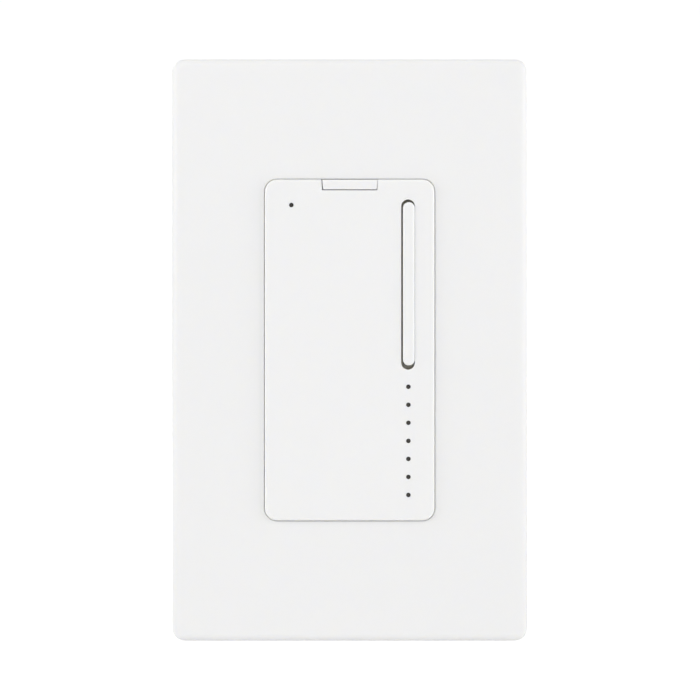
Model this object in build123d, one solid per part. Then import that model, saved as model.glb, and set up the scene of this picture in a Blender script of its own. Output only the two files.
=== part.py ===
"""Decorator-style wall dimmer: a screwless wall plate, a large tap paddle that fills its opening, a narrow
brighten/dim rocker bar in a slot of the paddle, a column of level indicators, and an air-gap service tab.

Millimetres. +X right and +Z up as seen from the room, front faces -Y, the wall's surface is the plane Y = 0.
The origin is midway between the two wall-box screws, on the wall's surface.
"""
from build123d import *
import math
import os

# ---------------------------------------------------------------- driving dimensions
PLATE_W, PLATE_H = 69.85, 114.3          # standard one-gang wall plate
PLATE_DEPTH = 6.6
PLATE_WALL = 1.8
PLATE_CORNER_R = 2.4
PLATE_EDGE_R = 1.5
OPENING_W, OPENING_H, OPENING_R = 33.5, 67.1, 2.55   # decorator opening
LIP = 1.2                                 # lip behind the opening's edge

PADDLE_W, PADDLE_H, PADDLE_R = 33.3, 66.9, 2.45
PADDLE_FRONT = -7.6
PADDLE_WALL = 1.5
PADDLE_SKIRT = 1.3
PADDLE_SKIRT_BACK = -4.9
PADDLE_PIVOT_Y, PADDLE_PIVOT_Z = -5.0, 30.9
PADDLE_FOOT_Z = -10.0

SLOT_X, SLOT_Z, SLOT_W, SLOT_L = 11.43, 12.83, 2.67, 33.34
BAR_X, BAR_Z, BAR_W, BAR_L = 11.58, 12.98, 2.31, 32.0
BAR_FRONT = -8.0
BAR_PIVOT_Y = -4.4
BAR_KEY = 10.5                            # level switches above and below the bar's pivot
KEY_X = 10.5

LED_X = 11.5
LED_TOP_Z, LED_PITCH, LED_COUNT = -7.2, 3.533, 7
LED_HOLE_R = 0.45
LENS_R = 0.42
STATUS_X, STATUS_Z = -11.43, 28.4

TAB_TOP_W, TAB_BOTTOM_W, TAB_H = 10.9, 10.6, 1.95
TAB_TOP_Z = 33.4
TAB_X = 0.05
TAB_FRONT = -7.55
TAB_TRAVEL = 3.0
TAB_GAP, TAB_GAP_Z = 0.11, 0.155

YOKE_T = 1.5
BOX_SCREW_PITCH = 83.34                   # wall-box screw holes, 3.281 in
PLATE_SCREW_PITCH = 96.84                 # wall-plate screw holes, 3.812 in
NO6_R = 1.7525                            # no. 6-32 screw, major radius
FRAME_FRONT = -3.6
FRAME_WALL_BACK = -2.0
SKIRT_X, SKIRT_Z = 14.9, 28.2             # frame skirt through the yoke's window
SKIRT_T = 1.3
BOARD_FRONT, BOARD_T = 2.0, 1.6
HOUSING_X, HOUSING_Z, HOUSING_DEPTH = 21.8, 34.5, 34.0
HOUSING_WALL, HOUSING_REAR = 1.6, 2.0
HS_X, HS_Z = 17.8, 30.4                   # housing screws
PB_FRONT = 28.9                           # power board, front face
TERM_Y, TERM_Z = 24.5, 12.0               # terminal screw axis

os.makedirs("parts", exist_ok=True)


# ---------------------------------------------------------------- helpers
def bx(x0, x1, y0, y1, z0, z1):
    """Box from its limits."""
    return Pos((x0 + x1) / 2, (y0 + y1) / 2, (z0 + z1) / 2) * Box(x1 - x0, y1 - y0, z1 - z0)


def cy(x, z, r, y0, y1):
    """Cylinder along Y."""
    return Pos(x, (y0 + y1) / 2, z) * Rot(90, 0, 0) * Cylinder(r, y1 - y0)


def cx(y, z, r, x0, x1):
    """Cylinder along X."""
    return Pos((x0 + x1) / 2, y, z) * Rot(0, 90, 0) * Cylinder(r, x1 - x0)


def cz(x, y, r, z0, z1):
    """Cylinder along Z."""
    return Pos(x, y, (z0 + z1) / 2) * Cylinder(r, z1 - z0)


def cone_y(x, z, r_front, r_back, y0, y1):
    """Cone along Y: r_front at y0 and r_back at y1."""
    return Pos(x, (y0 + y1) / 2, z) * Rot(90, 0, 0) * Cone(r_back, r_front, y1 - y0)


def py(sketch, y0, y1):
    """Prism along Y from a sketch drawn in X and Z."""
    return extrude(Plane.XZ.offset(-y1) * sketch, y1 - y0)


def rr(w, h, r, y0, y1, x=0.0, z=0.0):
    """Rounded-rectangle prism along Y."""
    return py(Pos(x, z) * RectangleRounded(w, h, r), y0, y1)


def slot_z(x, z, w, length, y0, y1):
    """Full-round slot prism along Y, long way up."""
    return py(Pos(x, z) * Rot(0, 0, 90) * SlotOverall(length, w), y0, y1)


def slot_x(x, z, w, length, y0, y1):
    """Full-round slot prism along Y, long way across."""
    return py(Pos(x, z) * SlotOverall(length, w), y0, y1)


def front_edges(shape, tol=0.02):
    """Edges that lie on the frontmost plane."""
    y0 = shape.bounding_box().min.Y
    return [e for e in shape.edges() if abs(e.bounding_box().min.Y - y0) < tol and abs(e.bounding_box().max.Y - y0) < tol]


def back_edges(shape, tol=0.02):
    y1 = shape.bounding_box().max.Y
    return [e for e in shape.edges() if abs(e.bounding_box().min.Y - y1) < tol and abs(e.bounding_box().max.Y - y1) < tol]


def save(name, *shapes):
    """Writes one node. Several shapes make a group of separate solids."""
    solids = []
    for s in shapes:
        solids += list(s.solids())
    export_step(solids[0] if len(solids) == 1 else Compound(children=solids), f"parts/{name}.step")


# ---------------------------------------------------------------- wall plate
plate = rr(PLATE_W, PLATE_H, PLATE_CORNER_R, -PLATE_DEPTH, 0)
plate = fillet(front_edges(plate), PLATE_EDGE_R)
inner_w, inner_h = PLATE_W - 2 * PLATE_WALL, PLATE_H - 2 * PLATE_WALL
plate -= rr(inner_w, inner_h, 1.2, -PLATE_DEPTH + PLATE_WALL, 1)
plate += rr(OPENING_W + 2 * LIP, OPENING_H + 2 * LIP, OPENING_R + LIP, -PLATE_DEPTH + PLATE_WALL, -3.2)
plate -= rr(OPENING_W, OPENING_H, OPENING_R, -PLATE_DEPTH - 1, 0)
opening_edges = [e for e in front_edges(plate) if e.bounding_box().max.X < OPENING_W / 2 + 0.1 and e.bounding_box().min.X > -OPENING_W / 2 - 0.1
                 and e.bounding_box().max.Z < OPENING_H / 2 + 0.1 and e.bounding_box().min.Z > -OPENING_H / 2 - 0.1]
plate = fillet(opening_edges, 0.25)
# catches that hook behind the bracket's edge, and ribs that stiffen the front
for s in (-1, 1):
    for z in (-38, 0, 38):
        plate += bx(min(s * 32.6, s * 33.3), max(s * 32.6, s * 33.3), -1.45, -0.6, z - 4, z + 4)
    for x in (-18, 18):
        plate += bx(x - 4, x + 4, -1.45, -0.6, min(s * 54.8, s * 55.5), max(s * 54.8, s * 55.5))
    for x in (-25, 25):
        plate += bx(x - 0.5, x + 0.5, -PLATE_DEPTH + PLATE_WALL - 0.2, -4.1, min(s * 40, s * 52), max(s * 40, s * 52))
# pry notch in the bottom rim
plate -= bx(-4, 4, -1.0, 1, -60, -55)
save("wall_plate", plate)

# ---------------------------------------------------------------- bracket the wall plate snaps on
bracket = rr(65.7, 110.1, 1.0, -3.1, -1.6)
bracket += rr(65.7, 110.1, 1.0, -3.9, -3.1) - rr(63.3, 107.7, 0.6, -5, -3.0)
bracket -= rr(34.5, 68.1, 3.0, -6, 0)
for s in (-1, 1):
    bracket -= cy(0, s * BOX_SCREW_PITCH / 2, 3.5, -6, 0)
    bracket -= cy(0, s * PLATE_SCREW_PITCH / 2, 1.95, -6, 0)
    for x in (-12.5, 12.5):
        bracket += bx(x - 0.5, x + 0.5, -4.0, -3.0, min(s * 37, s * 53.5), max(s * 37, s * 53.5))
    for z in (-38, 38):
        bracket -= bx(min(s * 28.5, s * 29.7), max(s * 28.5, s * 29.7), -6, 0, z - 7, z + 7)
    bracket += bx(min(s * 22.0, s * 23.0), max(s * 22.0, s * 23.0), -4.0, -3.0, -34, 34)
    for z in (-24, -8, 8, 24):
        bracket -= slot_z(s * 27.3, z, 3.0, 9.0, -6, 0)
save("plate_bracket", bracket)


def pan_head(x, z, r, y_top, y_under, slot_w=0.9, slot_d=0.8, r_edge=None):
    """Screw head facing -Y with a straight slot."""
    head = cy(x, z, r, y_top, y_under)
    head = fillet(front_edges(head), r_edge or min(0.6, (y_under - y_top) * 0.45))
    return head - bx(x - slot_w / 2, x + slot_w / 2, y_top - 1, y_top + slot_d, z - r - 1, z + r + 1)


plate_screws = []
for s in (-1, 1):
    z = s * PLATE_SCREW_PITCH / 2
    screw = pan_head(0, z, 3.1, -4.6, -3.1, 0.9, 0.8)
    screw += cy(0, z, NO6_R, -3.15, 6.0)
    plate_screws.append(screw)
save("plate_screws", *plate_screws)

# ---------------------------------------------------------------- yoke
yoke = rr(44.0, 72.0, 2.0, -YOKE_T, 0)
for s in (-1, 1):
    yoke += rr(21.0, 20.0, 1.0, -YOKE_T, 0, 0, s * 43.0)
    yoke += rr(33.0, 7.6, 3.0, -YOKE_T, 0, 0, s * 49.55)
    yoke -= slot_x(0, s * BOX_SCREW_PITCH / 2, 4.2, 7.2, -3, 1)
    yoke -= cy(0, s * PLATE_SCREW_PITCH / 2, NO6_R + 0.02, -3, 1)
    for x in (-11.6, 11.6):
        yoke -= slot_z(x, s * 49.55, 2.2, 4.4, -3, 1)
    for x in (-HS_X, HS_X):
        yoke -= cy(x, s * HS_Z, 1.27, -3, 1)
    for x in (-12.6, 12.6):
        yoke -= cy(x, s * 31.0, 1.2, -3, 1)
yoke -= rr(2 * SKIRT_X + 0.4, 2 * SKIRT_Z + 0.4, 0.8, -3, 1)
yoke -= bx(-5.0, 5.0, -3, 1, 31.2, 33.0)
# heat-sink flange folded back inside the housing
yoke += bx(-10.6, 10.6, -0.5, 20.0, -32.6, -31.4)
for x in (-5.2, 5.2):
    yoke -= cz(x, 8.0, 1.53, -34, -30)
# grounding tab folded back below the housing
yoke += bx(-18.0, -9.6, -0.5, 9.2, -37.4, -35.9) + bx(-18.0, -9.6, -YOKE_T, 0, -37.4, -35.0)
yoke -= cz(-13.8, 4.9, 1.78, -39, -34)
save("yoke", yoke)

box_screws, retainers = [], []
for s in (-1, 1):
    z = s * BOX_SCREW_PITCH / 2
    screw = pan_head(0, z, 3.2, -3.4, -YOKE_T, 0.9, 0.9)
    screw += cy(0, z, 1.6, -YOKE_T - 0.05, 0.5)
    screw += cy(0, z, NO6_R, 0.45, 27.4)
    screw += cone_y(0, z, NO6_R, 1.2, 27.35, 28.0)
    box_screws.append(screw)
    retainers.append(cy(0, z, 3.8, 0.02, 0.40) - cy(0, z, 1.66, -1, 1))
save("box_screws", *box_screws)
save("screw_retainers", *retainers)

ground = cz(-13.8, 4.9, 3.2, -39.4, -37.4)
ground -= bx(-14.25, -13.35, 0, 10, -40, -38.5)
ground += cz(-13.8, 4.9, 1.75, -37.45, -35.0)
save("ground_screw", ground)

# ---------------------------------------------------------------- front frame
frame = rr(33.0, 66.4, 2.2, FRAME_FRONT, -YOKE_T)
frame -= rr(2 * (SKIRT_X - SKIRT_T), 2 * (SKIRT_Z - SKIRT_T), 0.8, FRAME_WALL_BACK, 0)
skirt = rr(2 * SKIRT_X, 2 * SKIRT_Z, 0.8, -YOKE_T - 0.1, 1.9)
skirt -= rr(2 * (SKIRT_X - SKIRT_T), 2 * (SKIRT_Z - SKIRT_T), 0.8, -3, 3)
frame += skirt
# tab guide notch
frame -= bx(-4.9, 4.9, -6, 2, 31.3, 34)
# ears for the paddle's pivot pins
for s in (-1, 1):
    for a in (6.4, 9.2):
        x0, x1 = sorted((s * a, s * (a + 1.0)))
        ear = bx(x0, x1, -5.9, -3.5, 29.85, 31.9)
        frame += ear
    x0, x1 = sorted((s * 6.0, s * 10.6))
    frame -= cx(PADDLE_PIVOT_Y, PADDLE_PIVOT_Z, 0.61, x0, x1)
    # screw pilots into the yoke-side bosses
    for x in (-12.6, 12.6):
        frame -= cy(x, s * 31.0, 0.98, -3.35, 1)
# bar cheeks and the pocket under the bar's pivot block
for x0, x1 in ((8.35, 9.3), (13.82, 14.8)):
    frame += bx(x0, x1, -5.3, -3.5, BAR_Z - 1.8, BAR_Z + 1.8)
frame -= cx(BAR_PIVOT_Y, BAR_Z, 0.61, 8.0, 15.2)
frame -= bx(9.3, 13.82, -6, -2.8, BAR_Z - 2.2, BAR_Z + 2.2)
# holes for the switch stems
TACTS = {"paddle": (0.0, PADDLE_FOOT_Z), "brighten": (KEY_X, BAR_Z + BAR_KEY), "dim": (KEY_X, BAR_Z - BAR_KEY)}
for x, z in TACTS.values():
    frame -= cy(x, z, 2.1, -6, 0)
# return-spring cups
SPRING_X, SPRING_Z = 6.5, -19.0
for s in (-1, 1):
    frame += cy(s * SPRING_X, SPRING_Z, 3.2, -2.2, -0.4)
    frame -= cy(s * SPRING_X, SPRING_Z, 2.4, -6, -1.2)
# light-pipe seats
led_z = [LED_TOP_Z - i * LED_PITCH for i in range(LED_COUNT)]
PIPE_SHIFT = 2.5
frame -= bx(LED_X - 1.35, LED_X + 1.35, -6, -2.6, led_z[-1] - 1.2, led_z[0] + PIPE_SHIFT + 1.2)
for z in led_z:
    frame -= cy(LED_X, z + PIPE_SHIFT, 0.85, -4, 0)
STATUS_LED_Z = 25.2
frame -= bx(STATUS_X - 1.35, STATUS_X + 1.35, -6, -2.6, STATUS_LED_Z - 1.2, STATUS_Z + 1.2)
frame -= cy(STATUS_X, STATUS_LED_Z, 0.85, -4, 0)
# bosses for the control board's screws
BOARD_SCREWS = [(-11.5, -24.5), (7.4, -24.6), (-11.5, 17.0), (4.5, 24.6)]
for x, z in BOARD_SCREWS:
    frame += cy(x, z, 1.9, -2.2, 1.9)
    frame -= cy(x, z, 0.98, -1.2, 3)
# stiffening ribs behind the front wall
frame += bx(-13.7, -3.2, -2.1, -0.6, -3.4, -2.6) + bx(-4.4, -3.6, -2.1, -0.6, -13.0, 20.0)
save("front_frame", frame)

frame_screws = []
for sx in (-1, 1):
    for sz in (-1, 1):
        x, z = sx * 12.6, sz * 31.0
        head = cy(x, z, 1.7, 0.0, 1.3)
        head = fillet(back_edges(head), 0.4)
        head -= bx(x - 1.1, x + 1.1, 0.8, 2, z - 0.22, z + 0.22) + bx(x - 0.22, x + 0.22, 0.8, 2, z - 1.1, z + 1.1)
        frame_screws.append(head + cy(x, z, 0.95, -3.25, 0.05))
save("front_frame_screws", *frame_screws)

pins = [cx(PADDLE_PIVOT_Y, PADDLE_PIVOT_Z, 0.6, 6.3, 10.3), cx(PADDLE_PIVOT_Y, PADDLE_PIVOT_Z, 0.6, -10.3, -6.3)]
save("paddle_pivot_pins", *pins)
save("bar_pivot_pin", cx(BAR_PIVOT_Y, BAR_Z, 0.6, 8.4, 14.75))

springs = [cy(s * SPRING_X, SPRING_Z, 2.1, -6.08, -1.22) - cy(s * SPRING_X, SPRING_Z, 1.75, -7, 0) for s in (-1, 1)]
save("paddle_return_springs", *springs)

# ---------------------------------------------------------------- light pipes
pipe = bx(LED_X - 1.3, LED_X + 1.3, -3.6, -2.65, led_z[-1] - 1.1, led_z[0] + PIPE_SHIFT + 1.1)
for z in led_z:
    pipe += cy(LED_X, z, 0.7, -4.7, -3.5)
    pipe += cy(LED_X, z + PIPE_SHIFT, 0.7, -2.7, 0.95)
save("level_light_pipe", pipe)
pipe = bx(STATUS_X - 1.3, STATUS_X + 1.3, -3.6, -2.65, STATUS_LED_Z - 1.1, STATUS_Z + 1.1)
pipe += cy(STATUS_X, STATUS_Z, 0.7, -4.7, -3.5) + cy(STATUS_X, STATUS_LED_Z, 0.7, -2.7, 0.95)
save("status_light_pipe", pipe)

# ---------------------------------------------------------------- paddle
paddle = rr(PADDLE_W, PADDLE_H, PADDLE_R, PADDLE_FRONT, PADDLE_SKIRT_BACK)
paddle = fillet(front_edges(paddle), 0.5)
paddle -= rr(PADDLE_W - 2 * PADDLE_SKIRT, PADDLE_H - 2 * PADDLE_SKIRT, PADDLE_R - PADDLE_SKIRT, PADDLE_FRONT + PADDLE_WALL, 0)
notch_w = TAB_TOP_W + 2 * TAB_GAP
tab_bottom_z = TAB_TOP_Z - TAB_H
notch = Plane.XZ.offset(0) * Polyline((-TAB_BOTTOM_W / 2 - TAB_GAP, tab_bottom_z - TAB_GAP_Z), (TAB_BOTTOM_W / 2 + TAB_GAP, tab_bottom_z - TAB_GAP_Z),
                                      (TAB_TOP_W / 2 + TAB_GAP + 0.05, TAB_TOP_Z + 1), (-TAB_TOP_W / 2 - TAB_GAP - 0.05, TAB_TOP_Z + 1), close=True)
paddle -= extrude(make_face(notch), 20)
paddle -= slot_z(SLOT_X, SLOT_Z, SLOT_W, SLOT_L, -12, 0)
for z in led_z:
    paddle -= cy(LED_X, z, LED_HOLE_R, -12, 0)
paddle -= cy(STATUS_X, STATUS_Z, LED_HOLE_R, -12, 0)
inner = PADDLE_FRONT + PADDLE_WALL
for s in (-1, 1):
    x0, x1 = sorted((s * 7.6, s * 9.0))
    lug = bx(x0, x1, inner - 0.1, PADDLE_PIVOT_Y, PADDLE_PIVOT_Z - 1.0, PADDLE_PIVOT_Z + 1.0) + cx(PADDLE_PIVOT_Y, PADDLE_PIVOT_Z, 1.0, x0, x1)
    paddle += lug
    paddle -= cx(PADDLE_PIVOT_Y, PADDLE_PIVOT_Z, 0.66, x0 - 0.2, x1 + 0.2)
    paddle += cy(s * SPRING_X, SPRING_Z, 1.6, inner - 0.1, -5.3)
    paddle += bx(min(s * 2.2, s * 3.0), max(s * 2.2, s * 3.0), inner - 0.1, -5.3, -29.0, 27.0)
paddle += bx(-15.4, 8.8, inner - 0.1, -5.3, -26.6, -25.8) + bx(-15.4, 8.2, inner - 0.1, -5.3, 4.6, 5.4) + bx(-15.4, 8.2, inner - 0.1, -5.3, 19.6, 20.4)
paddle += bx(-1.0, 1.0, inner - 0.1, -4.05, PADDLE_FOOT_Z - 1.0, PADDLE_FOOT_Z + 1.0)
paddle += bx(-2.3, 2.3, inner - 0.1, -5.3, PADDLE_FOOT_Z - 0.4, PADDLE_FOOT_Z + 0.4)
# sleeve round the bar's slot, on the inner side
paddle += bx(8.9, 9.3, inner - 0.1, -5.8, -4.0, 29.4)
save("paddle", paddle)

strip = bx(LED_X - 1.4, LED_X + 1.4, inner, -5.5, led_z[-1] - 1.3, led_z[0] + 1.3)
for z in led_z:
    strip += cy(LED_X, z, LENS_R, PADDLE_FRONT + 0.08, inner + 0.1)
save("level_lens_strip", strip)
lens = cy(STATUS_X, STATUS_Z, 1.3, inner, -5.5) + cy(STATUS_X, STATUS_Z, LENS_R, PADDLE_FRONT + 0.08, inner + 0.1)
save("status_lens", lens)

# ---------------------------------------------------------------- dimming bar
bar = slot_z(BAR_X, BAR_Z, BAR_W, BAR_L, BAR_FRONT, -4.9)
bar = fillet(front_edges(bar), 0.45)
# flange that closes the slot behind the bar, out past both ends of the slot
bar += rr(4.2, 33.9, 0.6, -5.1, -4.2, BAR_X, 12.65)
bar += bx(9.6, 13.52, -5.4, -3.3, BAR_Z - 1.4, BAR_Z + 1.4)
bar -= cx(BAR_PIVOT_Y, BAR_Z, 0.66, 9, 14)
for s in (-1, 1):
    bar += bx(KEY_X - 0.8, KEY_X + 0.8, -4.3, -4.0, BAR_Z + s * BAR_KEY - 0.8, BAR_Z + s * BAR_KEY + 0.8)
save("dimming_bar", bar)

# ---------------------------------------------------------------- air-gap tab and its contacts
tab_face = Plane.XZ.offset(6.3) * Polyline((TAB_X - TAB_BOTTOM_W / 2, tab_bottom_z), (TAB_X + TAB_BOTTOM_W / 2, tab_bottom_z),
                                           (TAB_X + TAB_TOP_W / 2, TAB_TOP_Z), (TAB_X - TAB_TOP_W / 2, TAB_TOP_Z), close=True)
tab = extrude(make_face(tab_face), -6.3 - TAB_FRONT)
tab = fillet(front_edges(tab), 0.18)
tab += bx(-4.6, 4.6, -6.35, 11.5, 31.6, 32.6)
tab += bx(-5.6, 5.6, 3.1, 4.3, 31.6, 32.6)
save("air_gap_tab", tab)
bridge = bx(-4.4, 4.4, 11.5, 12.05, 29.8, 32.6)
for s in (-1, 1):
    bridge += cy(s * 3.2, 30.4, 0.9, 12.0, 12.25)
save("air_gap_bridge", bridge)
fixed = []
for s in (-1, 1):
    x0, x1 = sorted((s * 2.0, s * 4.4))
    c = bx(x0, x1, 12.7, 13.3, 29.4, 31.2) + bx(x0, x1, 12.7, PB_FRONT - 0.02, 30.6, 31.2)
    c += cy(s * 3.2, 30.4, 0.9, 12.29, 12.75)
    fixed.append(c)
save("air_gap_fixed_contacts", *fixed)

# ---------------------------------------------------------------- control board and what it carries
board_back = BOARD_FRONT + BOARD_T
board = rr(30.0, 60.8, 1.0, BOARD_FRONT, board_back)
for x, z in BOARD_SCREWS:
    board -= cy(x, z, 1.1, 0, 6)
save("control_board", board)
screws = []
for x, z in BOARD_SCREWS:
    head = fillet(back_edges(cy(x, z, 1.8, board_back, board_back + 1.3)), 0.4)
    head -= bx(x - 1.1, x + 1.1, board_back + 0.8, 6, z - 0.22, z + 0.22) + bx(x - 0.22, x + 0.22, board_back + 0.8, 6, z - 1.1, z + 1.1)
    screws.append(head + cy(x, z, 0.95, -1.0, board_back + 0.05))
save("control_board_screws", *screws)


def smd_led(x, z):
    return bx(x - 0.4, x + 0.4, 1.35, BOARD_FRONT, z - 0.8, z + 0.8)


save("level_leds", *[smd_led(LED_X, z + PIPE_SHIFT) for z in led_z])
save("status_led", smd_led(STATUS_X, STATUS_LED_Z))

STEM_FRONT = {"paddle": -4.0, "brighten": -3.95, "dim": -3.95}
for name, (x, z) in TACTS.items():
    body = rr(6.0, 6.0, 0.4, -1.5, BOARD_FRONT, x, z)
    body = chamfer(front_edges(body), 0.25)
    body -= cy(x, z, 1.8, -3, 0.6)
    for s in (-1, 1):
        for t in (-1, 1):
            body -= cy(x + s * 2.35, z + t * 2.35, 0.35, -3, -1.2)
    save(f"{name}_tact_switch", body)
    stem = cy(x, z, 1.7, -2.6, -0.6) + cy(x, z, 1.5, STEM_FRONT[name], -2.5)
    save(f"{name}_tact_stem", stem)

save("microcontroller", chamfer(back_edges(bx(-3.5, 3.5, board_back + 0.05, board_back + 1.05, -12.5, -5.5)), 0.15))
module = bx(-8, 8, board_back + 0.02, board_back + 0.82, -2, 22)
save("wifi_module", module)
shield = bx(-7.3, 7.3, board_back + 0.82, 6.4, -1.3, 16.0)
shield = fillet(shield.edges().filter_by(Axis.Y), 0.6)
shield = fillet(back_edges(shield), 0.3)
shield -= bx(-7.1, 7.1, 4, 6.2, -1.1, 15.8)
save("wifi_shield", shield)
save("crystal", fillet(back_edges(bx(6.4, 9.6, board_back + 0.02, board_back + 0.8, -10.25, -7.75)), 0.2))
passives = []
for i, (x, z, w, h) in enumerate([(-6.5, -6, 1.6, 0.8), (-6.5, -8, 1.6, 0.8), (-6.5, -10, 1.6, 0.8), (-6.5, -12, 1.6, 0.8), (-2, -14.6, 0.8, 1.6), (0, -14.6, 0.8, 1.6),
                                  (2, -14.6, 0.8, 1.6), (11, -13.5, 2.0, 1.25), (11, -16.5, 2.0, 1.25), (-11.6, 8, 1.6, 0.8), (-11.6, 6, 1.6, 0.8), (-11.6, 4, 1.6, 0.8),
                                  (11.2, 4, 3.2, 1.6), (11.2, 7.4, 3.2, 1.6), (-12, -8, 2.0, 1.25), (-12, -11, 2.0, 1.25), (12.2, 14, 1.6, 0.8), (12.2, 16, 1.6, 0.8)]):
    passives.append(bx(x - w / 2, x + w / 2, board_back + 0.01, board_back + 0.01 + min(w, h) * 0.75, z - h / 2, z + h / 2))
save("board_passives", *passives)

PIN_X = [-6.35 + 2.54 * i for i in range(6)]
header = bx(-7.75, 7.75, board_back + 0.02, 6.2, -21.27, -18.73)
header2 = bx(-7.75, 7.75, PB_FRONT - 2.6, PB_FRONT - 0.02, -21.27, -18.73)
for x in PIN_X:
    header -= bx(x - 0.36, x + 0.36, 3, 7, -20.36, -19.64)
    header2 -= bx(x - 0.36, x + 0.36, 20, 30, -20.36, -19.64)
save("board_header", header, header2)
save("header_pins", *[bx(x - 0.32, x + 0.32, board_back + 0.03, PB_FRONT - 0.03, -20.32, -19.68) for x in PIN_X])

sheet = rr(28.8, 56.3, 1.0, 6.7, 7.0, 0, 1.85)
sheet -= bx(-8.3, 8.3, 6, 8, -21.9, -18.1)
save("insulating_sheet", sheet)

# ---------------------------------------------------------------- power board and what it carries
pb = bx(-14.6, 14.6, PB_FRONT, PB_FRONT + 1.6, -30.2, 31.4)
for x in (-11, 11):
    for z in (-26.5, 27):
        pb -= cy(x, z, 1.2, 20, 40)
save("power_board", pb)

cxr, czr = -6.0, 17.2
core = cy(cxr, czr, 7.0, 21.6, 27.6) - cy(cxr, czr, 4.2, 20, 30)
save("choke_core", core)
winding_ring = cy(cxr, czr, 7.8, 20.8, 28.4) - cy(cxr, czr, 3.4, 20, 30)
winding_ring -= cy(cxr, czr, 7.05, 21.55, 27.65) - cy(cxr, czr, 4.15, 21.5, 27.7)
windings = [winding_ring & bx(cxr - 9, cxr - 1.4, 20, 30, czr - 9, czr + 9), winding_ring & bx(cxr + 1.4, cxr + 9, 20, 30, czr - 9, czr + 9)]
save("choke_winding", *windings)

film = bx(4.6, 13.4, 14.0, PB_FRONT - 0.05, 7.0, 24.5)
film = fillet(film.edges().filter_by(Axis.Y), 0.6)
film = fillet(front_edges(film), 0.5)
save("film_capacitor", film)


def can(x, z, r, y0):
    c = cy(x, z, r, y0, PB_FRONT - 0.05)
    c = fillet(front_edges(c), 0.8)
    return c - (cy(x, z, r + 1, PB_FRONT - 2.6, PB_FRONT - 2.0) - cy(x, z, r - 0.35, 0, 40))


save("electrolytic_capacitors", can(-8.6, 1.8, 5.0, 11.0), can(-9.6, -9.2, 4.0, 15.5))

fuse_body = cx(26.2, 28.0, 1.9, -13.0, -3.2)
fuse_body = fillet(fuse_body.edges().filter_by(GeomType.CIRCLE), 0.6)
fuse = fuse_body + cx(26.2, 28.0, 0.35, -13.6, -2.6) + bx(-13.9, -13.2, 25.85, PB_FRONT - 0.03, 27.65, 28.35) + bx(-3.0, -2.3, 25.85, PB_FRONT - 0.03, 27.65, 28.35)
save("fuse", fuse)
mov = fillet(cx(22.0, -16.6 - 4.2, 5.0, -12.6, -8.8).edges().filter_by(GeomType.CIRCLE), 1.2)
mov += bx(-11.0, -10.4, 26.0, PB_FRONT - 0.03, -23.6, -23.0) + bx(-11.0, -10.4, 26.0, PB_FRONT - 0.03, -18.6, -18.0)
save("varistor", mov)
bridge_r = fillet(front_edges(bx(8.4, 13.4, 26.2, PB_FRONT - 0.15, -22.0, -15.5)), 0.3)
legs = [bx(x - 0.35, x + 0.35, PB_FRONT - 0.5, PB_FRONT - 0.03, z - 0.7, z + 0.7) for x in (9.4, 12.4) for z in (-22.6, -14.9)]
for leg in legs:
    bridge_r += leg
save("bridge_rectifier", bridge_r)
opto = fillet(front_edges(bx(-5.3, -0.7, 25.6, PB_FRONT - 0.3, -16.6, -10.6)), 0.3)
for x in (-4.27, -1.73):
    for z in (-17.2, -10.0):
        opto += bx(x - 0.3, x + 0.3, 27.0, PB_FRONT - 0.03, min(z, -13.6) - 0.2 if z < -13.6 else -10.7, -16.5 if z < -13.6 else z + 0.2)
save("optocoupler", opto)

# small flyback transformer: bobbin with its winding between two core halves
tx, tz = 6.9, -4.6
core_t = bx(tx - 6.4, tx + 6.4, 16.4, 25.4, tz - 6.8, tz + 6.8) - bx(tx - 4.6, tx + 4.6, 15, 27, tz - 5.2, tz + 5.2)
core_t += bx(tx - 1.6, tx + 1.6, 16.4, 25.4, tz - 5.3, tz + 5.3)
save("transformer_core", core_t)
coil = (bx(tx - 4.4, tx + 4.4, 14.6, 27.2, tz - 4.2, tz + 4.2)) - bx(tx - 1.75, tx + 1.75, 14, 28, tz - 5.4, tz + 5.4)
coil = fillet(coil.edges().filter_by(Axis.Z), 0.4)
save("transformer_winding", coil)
bobbin = bx(tx - 6.0, tx + 6.0, 27.4, PB_FRONT - 0.05, tz - 6.4, tz + 6.4) - bx(tx - 1.0, tx + 1.0, 20, 28.2, tz - 7, tz + 7)
save("transformer_base", bobbin)

# power transistors on the yoke's heat-sink flange
transistors, t_screws = [], []
pad = bx(-10.4, 10.4, 4.6, 19.9, -31.38, -31.2)
for x in (-5.2, 5.2):
    pad -= cz(x, 8.0, 1.7, -34, -30)
    t = bx(x - 5.0, x + 5.0, 4.9, 19.9, -31.2, -29.9) - cz(x, 8.0, 1.8, -34, -28)
    t += chamfer(bx(x - 5.0, x + 5.0, 11.2, 20.4, -30.0, -26.8).edges().filter_by(Axis.X), 0.25)
    for dx in (-2.54, 0, 2.54):
        t += bx(x + dx - 0.4, x + dx + 0.4, 20.3, PB_FRONT - 0.02, -28.9, -28.4)
    transistors.append(t)
    s = fillet(cz(x, 8.0, 2.7, -29.9, -28.1).edges().group_by(Axis.Z)[-1], 0.6)
    s -= bx(x - 1.6, x + 1.6, 7.65, 8.35, -28.9, -27) + bx(x - 0.35, x + 0.35, 6.4, 9.6, -28.9, -27)
    s += cz(x, 8.0, 1.5, -32.6, -29.85)
    t_screws.append(s)
save("power_transistors", *transistors)
save("transistor_screws", *t_screws)
save("thermal_pad", pad)

# ---------------------------------------------------------------- back housing
hx, hz, hd = HOUSING_X, HOUSING_Z, HOUSING_DEPTH
house = rr(2 * hx, 2 * hz, 2.5, 0, hd)
house = fillet(back_edges(house), 1.2)
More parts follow.
